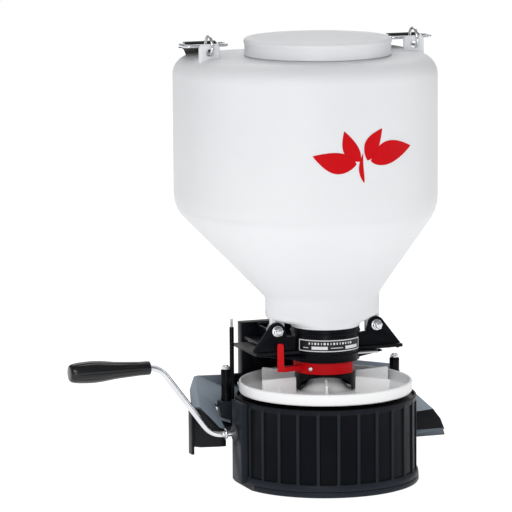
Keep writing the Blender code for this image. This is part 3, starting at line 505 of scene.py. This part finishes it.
def body_ring(z, inset, count=FINE):
    points = []
    for i in range(count):
        angle = 2.0 * math.pi * i / count
        front = math.sin(angle) < 0.0
        depth, power = (FRONT, 2.2) if front else (BACK, 4.5)
        x, y = power_curve(angle, HALF_WIDTH - inset, depth - inset, power)
        points.append(Vector((x, CENTRE_Y + y, z)))
    return points


def neck_ring(z, inset, count=FINE):
    points = []
    for i in range(count):
        x, y = power_curve(2.0 * math.pi * i / count, 69.0 - inset, 46.0 - inset, 1.8)
        points.append(Vector((x, NECK_Y + y, z)))
    return points


def hopper_front_y(x):
    """How far forward the hopper's upright wall is at x."""
    return CENTRE_Y - FRONT * (1.0 - abs(x / HALF_WIDTH) ** 2.2) ** (1.0 / 2.2)


def make_hopper():
    rings = [
        circle(0.0, 0.0, 35.5, 173.5),
        circle(0.0, 0.0, 35.5, 181.8),
        circle(0.0, 0.0, 39.5, 181.8),
        circle(0.0, 0.0, 40.0, 184.5),
        neck_ring(NECK_LOW, 0.0),
        neck_ring(NECK_HIGH, 0.0),
        body_ring(CONE_TOP, 0.0),
        body_ring(SHOULDER_LOW, 0.0),
    ]
    outer = soften(rings, [0.0, 0.0, 0.0, 0.0, 4.0, 3.5, 17.0, 0.0])
    for k in range(1, 10):
        angle = math.radians(10.0 * k)
        rise, inset = SHOULDER_ROUND * math.sin(angle), SHOULDER_ROUND * (1.0 - math.cos(angle))
        outer.append(body_ring(SHOULDER_LOW + rise, inset))
    collar = ((8.0, 491.0), (4.5, 491.6), (1.6, 493.4), (0.0, 495.6), (0.0, 504.6), (-0.8, 506.0))
    outer += [circle(0.0, MOUTH_Y, MOUTH_RADIUS + out, z) for out, z in collar]
    inner = [
        circle(0.0, MOUTH_Y, 76.6, 506.0),
        circle(0.0, MOUTH_Y, 76.0, 488.0),
        body_ring(488.0, 27.0),
        body_ring(SHOULDER_LOW, 3.0),
        body_ring(CONE_TOP + 0.5, 3.0),
        neck_ring(NECK_HIGH + 1.0, 3.0),
        neck_ring(NECK_LOW + 3.0, 3.0),
        circle(0.0, 0.0, 32.5, 186.0),
        circle(0.0, 0.0, 32.5, 173.5),
    ]
    finish_piece(loft(outer + inner, True), "hopper_shell", WHITE, "root", ("hopper",), smooth_deg=50.0)
    for side, word in ((-1.0, "left"), (1.0, "right")):
        x = side * LUG_X
        outline = [(x - 12.0, 478.0), (x - 12.0, 499.0)]
        outline += [(x - 7.5 + u, v) for u, v in arc((0.0, 503.0), 4.5, 180.0, 90.0, 8)]
        outline += [(x + 7.5 + u, v) for u, v in arc((0.0, 503.0), 4.5, 90.0, 0.0, 8)]
        outline += [(x + 12.0, 499.0), (x + 12.0, 478.0)]
        lug = finish_piece(prism(outline, 34.5, 40.5, "Y"), f"strap_lug_{word}", WHITE, None)
        cut(lug, [prism(polygon(32, 4.2, (x, LUG_Z)), 20.0, 60.0, "Y")])
        dress(lug, 0.9, segments=3)
        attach(lug, "root")
        near, far = sorted((side * 50.0, side * 67.0))
        foot = block((near, -0.7, 171.0), (far, 5.3, 194.0))
        finish_piece(foot, f"neck_lug_{word}", WHITE, "root", bevel=1.2)


def make_lid():
    outline = [
        (82.3, 493.0), (84.0, 492.8), (85.0, 493.6), (85.0, 495.0), (84.3, 495.8), (84.0, 497.0),
        (84.0, 505.0), (84.4, 506.4), (85.0, 507.2), (85.0, 508.8), (84.6, 510.4), (83.4, 511.7),
        (81.6, 512.4), (79.0, 512.6), (77.0, 512.3), (75.5, 511.5), (74.0, 511.3), (72.0, 511.6),
        (66.0, 513.2), (50.0, 515.3), (30.0, 516.5), (0, 517.0), (0, 513.0), (50.0, 511.6),
        (74.0, 508.6), (81.6, 508.0), (82.3, 506.0),
    ]
    cap = turned(outline, "Z", (0.0, MOUTH_Y), FINE)
    finish_piece(cap, "lid_cap", LID_WHITE, "lid", ("lid",), smooth_deg=50.0)


def leaf(length, width, turn_deg, x_mid, z_mid, steps=22, columns=7):
    """A leaf-shaped print made of strips, so that it follows the round wall."""
    mesh_data = bmesh.new()
    c, s = math.cos(math.radians(turn_deg)), math.sin(math.radians(turn_deg))
    rows = []
    for i in range(steps + 1):
        t = i / steps
        half = max(width * 0.5 * math.sin(math.pi * t ** 0.8) ** 0.9, 0.05) if 0 < i < steps else 0.05
        row = []
        for k in range(columns):
            u = length * (t - 0.5)
            v = half * (2.0 * k / (columns - 1) - 1.0) + 3.0 * math.sin(math.pi * t)
            x, z = x_mid + u * c - v * s, z_mid + u * s + v * c
            row.append(mesh_data.verts.new((x, hopper_front_y(x) - 0.25, z)))
        rows.append(row)
    for low, high in zip(rows, rows[1:]):
        for k in range(columns - 1):
            mesh_data.faces.new((low[k], low[k + 1], high[k + 1], high[k]))
    return mesh_data


def make_print():
    """A plain sprout mark in red: leaves around a short stem, with no lettering."""
    leaves = []
    for x, z, length, width, turn in (
        (-22.0, 384.0, 52.0, 24.0, 168.0),
        (48.0, 388.0, 56.0, 26.0, 14.0),
        (-2.0, 399.0, 40.0, 18.0, 118.0),
        (26.0, 400.0, 40.0, 18.0, 62.0),
        (12.0, 374.0, 34.0, 6.0, 92.0),
    ):
        leaves.append(leaf(length, width, turn, x, z))
    finish_piece(merged(leaves), "sprout_print", RED_PRINT, "root")


make_hopper()
make_lid()
make_print()


# ---------------------------------------------------------------- drum, base, posts
def ribbed(z, skin, rib):
    """The drum's outline at one height: a round wall with narrow upright ribs."""
    points = []
    step = 2.0 * math.pi / RIBS
    half = step * 0.085
    for i in range(RIBS):
        middle = step * i
        spots = [(rib, -half * 0.8), (rib, 0.0), (rib, half * 0.8), (skin, half * 1.35)]
        spots += [(skin, half + (step - 2.0 * half) * k / 5.0) for k in range(1, 5)]
        spots += [(skin, step - half * 1.35)]
        for radius, turn in spots:
            angle = middle + turn
            points.append(Vector((radius * math.cos(angle), radius * math.sin(angle), z)))
    return points


def make_drum():
    outer = [
        ribbed(7.3, 107.0, 107.0),
        ribbed(8.6, 107.3, 107.3),
        ribbed(13.0, 106.6, 106.6),
        ribbed(14.6, 105.4, 105.6),
        ribbed(15.6, 103.4, 105.1),
        ribbed(52.0, 103.2, 105.1),
        ribbed(93.4, 103.4, 105.1),
        ribbed(94.4, 104.2, 105.1),
        ribbed(95.2, 104.6, 104.9),
        ribbed(96.6, 104.6, 104.8),
        ribbed(100.4, 104.6, 104.6),
        ribbed(101.0, 104.0, 104.0),
        ribbed(101.0, 102.4, 102.4),
        ribbed(100.4, 101.9, 101.9),
        ribbed(98.0, 101.6, 101.6),
    ]
    inner = [
        ribbed(98.0, 12.0, 12.0),
        ribbed(95.0, 12.0, 12.0),
        ribbed(95.0, DRUM_INSIDE, DRUM_INSIDE),
        ribbed(7.3, DRUM_INSIDE, DRUM_INSIDE),
    ]
    drum = finish_piece(loft(outer + inner, True), "drum_wall", BLACK_DRUM, None)
    side_block = block((-110.5, -19.0, 7.3), (-90.0, 12.0, 99.4))
    box = finish_piece(side_block, "gearbox_side", BLACK_DRUM, None)
    cut(box, [turned([(0, -5.0), (100.6, -5.0), (100.6, 120.0), (0, 120.0)])])
    cut(box, [prism(polygon(32, 7.5, (0.0, CRANK_Z)), -130.0, -80.0, "X")])
    dress(box, 1.6, segments=3)
    parts = [block((-50.0, 98.0, 30.0), (50.0, 107.8, 80.0))]
    for side in (-1.0, 1.0):
        near, far = sorted((side * 96.0, side * 113.4))
        parts.append(block((near, 40.0, 57.0), (far, 56.0, 92.0)))
        parts.append(prism([(side * 99.0, 43.0), (side * 112.0, 43.0), (side * 101.0, 30.0)], 60.0, 64.0))
    finish_piece(merged(parts), "drum_bosses", BLACK_DRUM, "root", bevel=1.0)
    collar = [(12.2, 95.2), (16.0, 95.2), (16.0, 99.0), (15.2, 100.0), (12.2, 100.0)]
    finish_piece(turned(collar), "bearing_collar", BLACK_DRUM, "root")
    for piece in (drum, box):
        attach(piece, "root")
    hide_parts("drum_housing")
    outline = [
        (0, 0), (20.0, 0), (20.6, 0.8), (24.0, 0.8), (24.6, 0), (104.8, 0), (106.6, 0.6),
        (BASE_RADIUS, 2.0), (BASE_RADIUS, 5.4), (106.9, 6.6), (105.6, 7.0), (99.9, 7.0), (99.9, 12.0),
        (97.4, 12.0), (97.4, 4.0), (14.0, 4.0), (14.0, 15.0), (7.3, 15.0), (7.3, 5.0), (0, 5.0),
    ]
    base = finish_piece(turned(outline, count=FINE), "base_disc", BLACK_DRUM, None)
    holes = []
    for spot in polygon(4, 94.0, turn_deg=45.0):
        holes += [prism(polygon(20, 8.6, spot), 3.7, 20.0), prism(polygon(20, 2.6, spot), -5.0, 10.0),
                  prism(polygon(24, 5.2, spot), -5.0, 2.0)]
    holes.append(block((-115.0, -60.0, -5.0), (-101.3, 60.0, 20.0)))
    cut(base, holes)
    dress(base, 0.0)
    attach(base, "root")
    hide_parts("base_cover")


def make_posts():
    for side, word in ((-1.0, "left"), (1.0, "right")):
        spot = (side * POST_X, POST_Y)
        sleeve = [
            (3.1, 92.3), (5.8, 92.3), (5.8, 96.0), (5.4, 97.0), (5.4, 108.0), (5.8, 109.0), (5.8, 127.4),
            (5.2, 128.4), (3.1, 128.5),
        ]
        finish_piece(turned(sleeve, "Z", spot, 40), f"post_sleeve_{word}", BLACK, "root", (f"post_{word}",))
        head = [
            (0, 128.8), (4.4, 128.8), (4.4, 130.0), (3.3, 130.3), (3.3, 132.6), (2.6, 133.6), (0, 134.0),
        ]
        nut = prism(polygon(6, 4.9, spot), 128.8, 131.8)
        shank = turned([(0, 64.0), (2.6, 64.0), (2.6, 128.8), (0, 128.8)], "Z", spot, 24)
        parts = [turned(head, "Z", spot, 32), nut, shank]
        finish_piece(merged(parts), f"post_stud_{word}", STEEL, "root", (f"post_bolt_{word}",), 0.25)
    spot = (-96.0, 52.0)
    rod = [(0, 74.0), (1.5, 74.0), (1.5, 186.0), (1.0, 187.0), (0, 187.0)]
    finish_piece(turned(rod, "Z", spot, 24), "stay_wire", STEEL, "root", ("stay_rod",))
    sleeve = [(1.8, 92.3), (2.6, 92.3), (2.6, 176.4), (2.2, 177.0), (1.8, 177.0)]
    finish_piece(turned(sleeve, "Z", spot, 24), "stay_tube", BLACK, "root", ("stay_sleeve",))


# ---------------------------------------------------------------- crank
def make_crank():
    low, high = CRANK_Z, GRIP_Z
    corners = [(-12.0, 0.0, low), (-139.9, 0.0, low), (-202.1, 0.0, high), (-303.0, 0.0, high)]
    rod = wire(rounded_path(corners, 14.0, 12), 3.5, 24)
    finish_piece(rod, "crank_wire", ROD_STEEL, "crank", ("crank_rod",))
    washer = [(3.7, -124.2), (6.0, -124.2), (6.3, -123.8), (6.3, -122.3), (6.0, -121.9), (3.7, -121.9)]
    disc = turned(washer, "X", (0.0, low), 40)
    finish_piece(disc, "crank_washer_disc", STEEL, "crank", ("crank_washer",))
    pin = prism(polygon(14, 1.1, (-126.4, low)), -6.4, 6.4, "Y")
    turns = [2.0 * math.pi * k / 16 for k in range(16)]
    eye = [(-126.4 + 2.2 * math.cos(turn), -6.0, low + 2.2 * math.sin(turn)) for turn in turns]
    ring = wire(eye, 0.5, 8, True)
    finish_piece(merged([pin, ring]), "crank_split_pin", STEEL, "crank")
    shape = [
        (6.6, -213.4), (7.6, -214.0), (7.9, -216.0), (7.9, -226.0), (8.3, -232.0), (9.0, -244.0),
        (9.9, -256.0), (11.0, -264.0), (12.0, -272.0), (12.4, -279.0), (12.5, -284.0), (12.2, -291.0),
        (11.8, -298.0), (11.2, -303.0), (10.2, -306.6), (8.9, -308.5), (7.0, -309.0),
    ]
    rings = []
    for radius, x in shape:
        ring = []
        for i in range(96):
            angle = 2.0 * math.pi * i / 96
            flute = 0.45 * max(0.0, math.cos(12.0 * angle)) ** 3 if 218.0 < -x < 300.0 else 0.0
            out = radius - flute
            ring.append(place("X", out * math.cos(angle), high + out * math.sin(angle), x))
        rings.append(ring)
    finish_piece(loft(rings), "grip_body", GRIP_BLACK, "grip", ("crank_grip",), smooth_deg=50.0)


# ---------------------------------------------------------------- impeller and outlet
def make_impeller():
    outline = [
        (4.3, 104.4), (97.0, 104.4), (98.8, 104.8), (99.6, 105.8), (99.8, 107.2), (99.8, 115.6),
        (99.8, 116.8), (99.3, 117.7), (98.3, 118.0), (97.4, 117.8), (96.9, 117.0), (96.8, 115.8),
        (96.6, 109.6), (95.6, 107.7), (93.6, 107.0), (30.0, 107.0), (27.6, 107.8), (25.6, 109.6),
        (14.4, 124.4), (12.6, 126.2), (10.6, 126.9), (4.3, 127.0),
    ]
    dish = turned(outline, count=FINE)
    finish_piece(dish, "impeller_dish", NYLON, "impeller", ("impeller",), smooth_deg=50.0)
    vanes = []
    for i in range(6):
        rings = []
        for r, half, top in ((40.0, 1.2, 124.0), (41.0, 1.6, 125.0), (83.0, 1.6, 125.0), (84.0, 1.2, 124.0)):
            edge = [(half + 0.9, 106.6), (half, 108.4), (half * 0.9, top - 0.5), (half * 0.5, top)]
            around = [(-u, z) for u, z in edge] + edge[::-1]
            rings.append([Vector((r, u, z)) for u, z in around])
        blade = spun(loft(rings), FACING - 90.0 + 60.0 * i)
        web = prism([(0.0, 0.0), (4.5, 0.0), (0.0, 9.0)], -1.0, 1.0, "Y")
        for vert in web.verts:
            x, y, z = vert.co
            vert.co = (62.0 + y, 1.5 + x, 106.8 + z)
        spun(web, FACING - 90.0 + 60.0 * i)
        vanes += [blade, web]
    finish_piece(merged(vanes), "impeller_vanes", NYLON, "impeller", smooth_deg=40.0)


def sector(inner, outer, start_deg, end_deg, low, high, steps=40):
    centre = (0.0, 0.0)
    there = arc(centre, outer, start_deg, end_deg, steps)
    return prism(there + arc(centre, inner, end_deg, start_deg, steps), low, high)


def make_outlet():
    outline = [
        (31.5, 108.8), (34.5, 108.8), (34.5, 128.0), (33.6, 129.2), (29.7, 129.2), (29.7, 147.0),
        (26.7, 147.0), (26.7, 126.2), (31.5, 126.2),
    ]
    cup = finish_piece(turned(outline), "drop_cup_shell", BLACK, None)
    half = [(29.0, 100.0), (29.0, 112.0)]
    for k in range(1, 11):
        angle = 0.14 * k
        half.append((29.0 * math.cos(angle), 112.0 + 14.0 * math.sin(angle) ** 0.8))
    arch = half + [(-x, z) for x, z in reversed(half)]
    cut(cup, [spun(prism(arch, -60.0, -4.0, "Y"), FACING)])
    dress(cup, 0.5)
    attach(cup, "direction")
    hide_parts("drop_cup")
    band = sector(30.0, BAND_RADIUS, -53.0, -230.0, 129.5, 142.7, 48)
    ring = finish_piece(band, "red_band", RED, None)
    arm = [(-27.0, -21.5), (-24.5, -26.0), (-46.5, -42.0), (-55.5, -42.0), (-55.5, -38.0), (-50.0, -37.8)]
    tab = [(-55.6, 134.0), (-46.4, 134.0), (-46.9, 137.6), (-47.8, 142.0), (-48.3, 163.6), (-48.9, 165.6)]
    tab += [(-50.4, 166.5), (-53.6, 166.5), (-54.9, 165.6), (-55.4, 163.6)]
    arm_piece, tab_piece = prism(arm, 134.0, 139.5), prism(tab, -42.0, -37.8, "Y")
    cut(ring, [spun(arm_piece, FACING), spun(tab_piece, FACING)], "UNION")
    dress(ring, 0.7, segments=3)
    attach(ring, "direction")
    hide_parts("direction_ring")
    low, high = (BAND_RADIUS - 0.4, -0.7, 131.0), (BAND_RADIUS + 0.6, 0.7, 141.4)
    ribs = [spun(block(low, high), angle) for angle in range(-225, -160, 12)]
    finish_piece(merged(ribs), "red_band_ribs", RED, "direction")
    screw = [(0, -39.9), (1.6, -39.8), (2.4, -39.2), (2.7, -38.2), (2.7, -37.2), (0, -37.2)]
    head = spun(turned(screw, "Y", (0.0, 136.0), 28), FACING - 27.0)
    slot_tool = spun(block((-3.0, -41.0, 135.6), (3.0, -39.2, 136.4)), FACING - 27.0)
    piece = finish_piece(head, "direction_screw_head", STEEL, None)
    cut(piece, [slot_tool])
    dress(piece, 0.0, 30.0)
    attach(piece, "direction")
    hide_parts("direction_screw")


def make_gate():
    refined("shutter_plate", GATE_STEEL, "shutter", 0.4)
    refined("shutter_knob", BLACK, "shutter", 1.2)


# ---------------------------------------------------------------- frame head, label, bolts, spine, shield
def make_frame():
    ribs = []
    for side in (-1.0, 1.0):
        for x in (50.0, 70.0):
            near, far = sorted((side * x, side * (x + 2.0)))
            ribs.append(block((near, 8.0, 155.0), (far, 62.0, 159.0)))
    for z in (151.8, 176.0):
        ribs.append(turned([(39.3, z - 1.1), (40.4, z - 0.6), (40.4, z + 0.6), (39.3, z + 1.1)]))
    refined("frame_head", BLACK, "root", 0.9, ribs)
    refined("spine", BLACK, "root", 1.0)
    for side, word in ((-1.0, "left"), (1.0, "right")):
        spot = (side * 61.0, 178.7)
        parts = [
            turned([(0, -7.2), (6.2, -7.2), (6.5, -6.9), (6.5, -6.3), (0, -6.3)], "Y", spot, 40),
            prism(polygon(6, 5.8, spot, 12.0), -11.5, -7.2, "Y"),
            turned([(0, -13.6), (2.8, -13.4), (3.6, -12.6), (3.8, -11.5), (0, -11.5)], "Y", spot, 28),
            turned([(0, -6.3), (3.8, -6.3), (3.8, 14.0), (0, 14.0)], "Y", spot, 24),
        ]
        finish_piece(merged(parts), f"ear_bolt_set_{word}", STEEL, "root", (f"ear_bolt_{word}",), 0.45)


def make_label():
    """A plain scale plate on the barrel: a white border, marks for the settings and two blank boxes."""
    start, end, low, high = LABEL_START, LABEL_END, LABEL_LOW, LABEL_HIGH
    base = sector(39.8, 40.15, start - 2.0, end + 2.0, low, high, 60)
    finish_piece(base, "scale_plate", LABEL_BLACK, "root", ("direction_label",))
    spans = [
        (start, end, high - 1.5, high - 0.5, 60),
        (start, end, low + 0.5, low + 1.5, 60),
        (start, start + 1.4, low + 0.5, high - 0.5, 3),
        (end - 1.4, end, low + 0.5, high - 0.5, 3),
        (-134.0, -107.0, low + 3.0, low + 6.6, 16),
        (-76.0, -48.0, low + 3.0, low + 6.6, 16),
    ]
    for k in range(15):
        width, middle = (1.1, 0.7, 1.6)[k % 3], -138.0 + 5.2 * k
        spans.append((middle - width, middle + width, low + 8.6, low + 11.0, 4))
    spans.append((-150.0, -140.0, low + 4.4, low + 5.2, 6))
    spans.append((-102.0, -81.0, low + 4.4, low + 5.2, 10))
    marks = [sector(40.1, 40.38, *span) for span in spans]
    finish_piece(merged(marks), "scale_marks", LABEL_WHITE, "root")


def make_shield():
    refined("body_shield", BLACK_WING, "root", 0.7)


# ---------------------------------------------------------------- strap and its hardware
def make_hooks():
    for side, word in ((-1.0, "left"), (1.0, "right")):
        x = side * LUG_X
        link = [
            (x, 30.0, 496.9), (x, 26.6, 500.5), (x, 27.0, 508.0), (x, 30.5, 514.2), (x, 38.0, 517.0),
            (x, 46.0, 514.8), (x, 50.6, 507.0), (x, 49.4, 499.5), (x, 44.0, 496.9),
        ]
        body = f"hook_{word}"
        link_wire = wire(smooth_path(link, 3, True), 1.7, 14, True)
        finish_piece(link_wire, f"lug_link_{word}", STEEL, body, (body,))
        low, high, near, far = x - 20.0, x + 20.0, 49.6, 65.0
        loop = []
        for cx, cy, start in ((high, far, 0.0), (low, far, 90.0), (low, near, 180.0), (high, near, 270.0)):
            loop += [(u, v, HANG_Z) for u, v in arc((cx, cy), 5.0, start, start + 90.0, 8)]
        ring = wire(loop, 1.9, 14, True)
        finish_piece(ring, f"strap_loop_{word}", STEEL, body, (f"strap_ring_{word}",), smooth_deg=60.0)


def strap_half_line(side):
    """Half of the strap, from its ring over the hopper's shoulder and down to the slider, with its twist."""
    guide = [
        (LUG_X, 73.8, HANG_Z, 0.0),
        (125.2, 84.0, 502.4, 0.0),
        (121.0, 104.0, 498.6, 4.0),
        (110.0, 126.0, 497.0, 10.0),
        (98.0, 146.0, 493.5, 8.0),
        (92.0, 158.0, 478.0, 4.0),
        (87.0, 163.0, 440.0, 6.0),
        (77.0, 167.0, 395.0, 35.0),
        (64.0, 171.0, 350.0, 75.0),
        (44.0, 173.5, 297.0, 88.0),
        (20.0, 174.0, 264.0, 90.0),
        (0.4, 174.0, 256.0, 90.0),
    ]
    points = [(side * x, y, z, turn if side < 0.0 else 180.0 - turn) for x, y, z, turn in guide]
    for _ in range(3):
        finer = [points[0]]
        for a, b in zip(points, points[1:]):
            for share in (0.25, 0.75):
                finer.append(tuple((1.0 - share) * m + share * n for m, n in zip(a, b)))
        finer.append(points[-1])
        points = finer
    return [(Vector(point[:3]), math.radians(point[3])) for point in points]


def strap_ring(here, along, angle):
    """The strap's outline across its width: slightly cupped, thinner at its two selvedges."""
    side = Vector((math.cos(angle), math.sin(angle), 0.0))
    side = (side - along * side.dot(along)).normalized()
    face = along.cross(side).normalized()
    top, under = [], []
    for k in range(STRAP_COLUMNS + 1):
        u = 2.0 * k / STRAP_COLUMNS - 1.0
        thick = STRAP_HALF_THICK * (0.35 if abs(u) > 0.99 else 1.0)
        cup = 0.5 * u * u
        top.append(here + side * STRAP_HALF_WIDTH * u + face * (cup + thick))
        under.append(here + side * STRAP_HALF_WIDTH * u + face * (cup - thick))
    return top + under[::-1]


def lay_weave(mesh_data, lengths):
    """Gives the strip flat coordinates in metres, across and along, for its weave."""
    layer = mesh_data.loops.layers.uv.new("weave")
    mesh_data.verts.index_update()
    count = 2 * (STRAP_COLUMNS + 1)
    for face in mesh_data.faces:
        for corner in face.loops:
            k = corner.vert.index % count
            across = k if k <= STRAP_COLUMNS else count - 1 - k
            along = lengths[corner.vert.index // count]
            corner[layer].uv = (across / STRAP_COLUMNS * STRAP_HALF_WIDTH * 2.0 * MM, along * MM)


def make_strap():
    for side, word in ((-1.0, "left"), (1.0, "right")):
        points = strap_half_line(side)
        rings, lengths = [], [0.0]
        for i, (here, angle) in enumerate(points):
            before, after = points[max(i - 1, 0)][0], points[min(i + 1, len(points) - 1)][0]
            rings.append(strap_ring(here, (after - before).normalized(), angle))
            if i:
                lengths.append(lengths[-1] + (here - before).length)
        mesh_data = loft(rings)
        lay_weave(mesh_data, lengths)
        strap = finish_piece(mesh_data, f"webbing_{word}", STRAP, None, ("shoulder_strap",), smooth_deg=60.0)
        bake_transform(strap)
        fold = make_strap_fold(side, word)
    make_slider()


def make_strap_fold(side, word):
    """The webbing's end folded round the ring's bar."""
    x, bar = side * LUG_X, (68.1, HANG_Z)
    outer, inner = arc(bar, 3.3, 90.0, 270.0, 12), arc(bar, 3.3 * 0.62, 270.0, 90.0, 12)
    outline = [(78.0, 507.4), *outer, (78.0, 502.8), (78.0, 504.0), *inner, (78.0, 506.2)]
    strip = prism(outline, x - 18.0, x + 18.0, "X")
    piece = finish_piece(strip, f"webbing_fold_{word}", STRAP, None, smooth_deg=60.0)
    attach(piece, f"hook_{word}")
    return piece


def make_slider():
    """A plain two-bar slider where the two halves of the strap meet."""
    near, far, low = 152.5, 195.5, 256.0
    corners = [(-11.0, near, low), (11.0, near, low), (11.0, far, low), (-11.0, far, low)]
    loop = rounded_path([*corners, corners[0]], 4.0)
    parts = [wire(loop[:-1], 1.8, 12, True), wire([(0.0, near, low + 2.4), (0.0, far, low + 2.4)], 1.6, 12)]
    finish_piece(merged(parts), "strap_slider", BLACK, "root", smooth_deg=60.0)


make_drum()
make_posts()
make_crank()
make_impeller()
make_outlet()
make_gate()
make_frame()
make_label()
make_shield()
make_hooks()
make_strap()

for material, nodes in (
    (RUBBER, ("lid_seal",)),
    (GEAR, ("pinion", "crank_gear", "crank_bush")),
    (BRONZE, ("lower_bush", "upper_bush")),
    (STEEL, ("impeller_shaft", "agitator", "ear_nut_left", "ear_nut_right")),
    (STEEL, [f"{place_name}_screw_{k}" for place_name in ("base", "spine") for k in range(1, 5)]),
):
    for node in nodes:
        NODES[node].data.materials.clear()
        NODES[node].data.materials.append(material)


# ---------------------------------------------------------------- studio
def softbox(name, place_m, aim_m, size, power):
    light = bpy.data.lights.new(name, "AREA")
    light.shape = "RECTANGLE"
    light.size, light.size_y = size
    light.energy = power
    thing = bpy.data.objects.new(name, light)
    thing.location = place_m
    thing.rotation_euler = (Vector(aim_m) - Vector(place_m)).to_track_quat("-Z", "Y").to_euler()
    bpy.context.scene.collection.objects.link(thing)


def make_studio():
    floor_mesh = bmesh.new()
    bmesh.ops.create_grid(floor_mesh, x_segments=8, y_segments=8, size=6.0)
    mesh = bpy.data.meshes.new("studio_floor")
    floor_mesh.to_mesh(mesh)
    floor_mesh.free()
    floor = bpy.data.objects.new("studio_floor", mesh)
    floor.location.z = -0.0002
    bpy.context.scene.collection.objects.link(floor)
    paper, tree, shader = new_material("studio_paper")
    tone = ramp(tree, noise(tree, 3.0), (0.26, 0.26, 0.26), (0.28, 0.28, 0.28))
    tree.links.new(tone, shader.inputs["Base Color"])
    shader.inputs["Roughness"].default_value = 0.85
    shader.inputs["Emission Color"].default_value = (1.0, 1.0, 1.0, 1.0)
    shader.inputs["Emission Strength"].default_value = 0.93
    mesh.materials.append(paper)
    world = bpy.data.worlds.new("studio")
    world.use_nodes = True
    background = world.node_tree.nodes["Background"]
    background.inputs["Color"].default_value = (1.0, 1.0, 1.0, 1.0)
    rays = world.node_tree.nodes.new("ShaderNodeLightPath")
    level = ramp(world.node_tree, rays.outputs["Is Camera Ray"], 0.30, 1.0, 0.0, 1.0)
    world.node_tree.links.new(level, background.inputs["Strength"])
    bpy.context.scene.world = world
    softbox("key", (-1.4, -2.4, 1.9), (0.0, 0.0, 0.30), (1.2, 1.2), 28.5)
    softbox("left", (-2.2, 0.3, 0.7), (0.0, 0.0, 0.25), (0.5, 1.6), 2.5)
    softbox("right", (2.0, -0.9, 0.8), (0.0, 0.0, 0.25), (0.4, 1.6), 4.5)
    softbox("overhead", (0.5, 1.5, 2.1), (0.0, 0.1, 0.15), (2.2, 1.6), 20.0)
    softbox("front", (-1.2, -3.4, 0.30), (0.0, 0.0, 0.15), (1.0, 0.5), 12.0)
    softbox("back", (1.0, 2.9, 0.95), (0.0, 0.1, 0.12), (2.4, 0.8), 4.0)


def make_camera():
    data = bpy.data.cameras.new("camera")
    data.lens = 276.8
    data.sensor_width = 36.0
    data.clip_end = 60.0
    camera = bpy.data.objects.new("camera", data)
    spot, aim = Vector((-1.5979, -4.1748, 0.9480)), Vector((-0.0743, 0.0273, 0.2622))
    camera.location = spot
    turn = (aim - spot).to_track_quat("-Z", "Y").to_matrix()
    roll = math.radians(-0.42)
    right = turn @ Vector((math.cos(roll), math.sin(roll), 0.0))
    up = turn @ Vector((-math.sin(roll), math.cos(roll), 0.0))
    back = turn @ Vector((0.0, 0.0, 1.0))
    matrix = turn.to_4x4()
    for row in range(3):
        matrix[row][0], matrix[row][1], matrix[row][2] = right[row], up[row], back[row]
        matrix[row][3] = spot[row]
    camera.matrix_world = matrix
    bpy.context.scene.collection.objects.link(camera)
    bpy.context.scene.camera = camera


make_studio()
make_camera()
bpy.context.scene.view_settings.view_transform = "Standard"
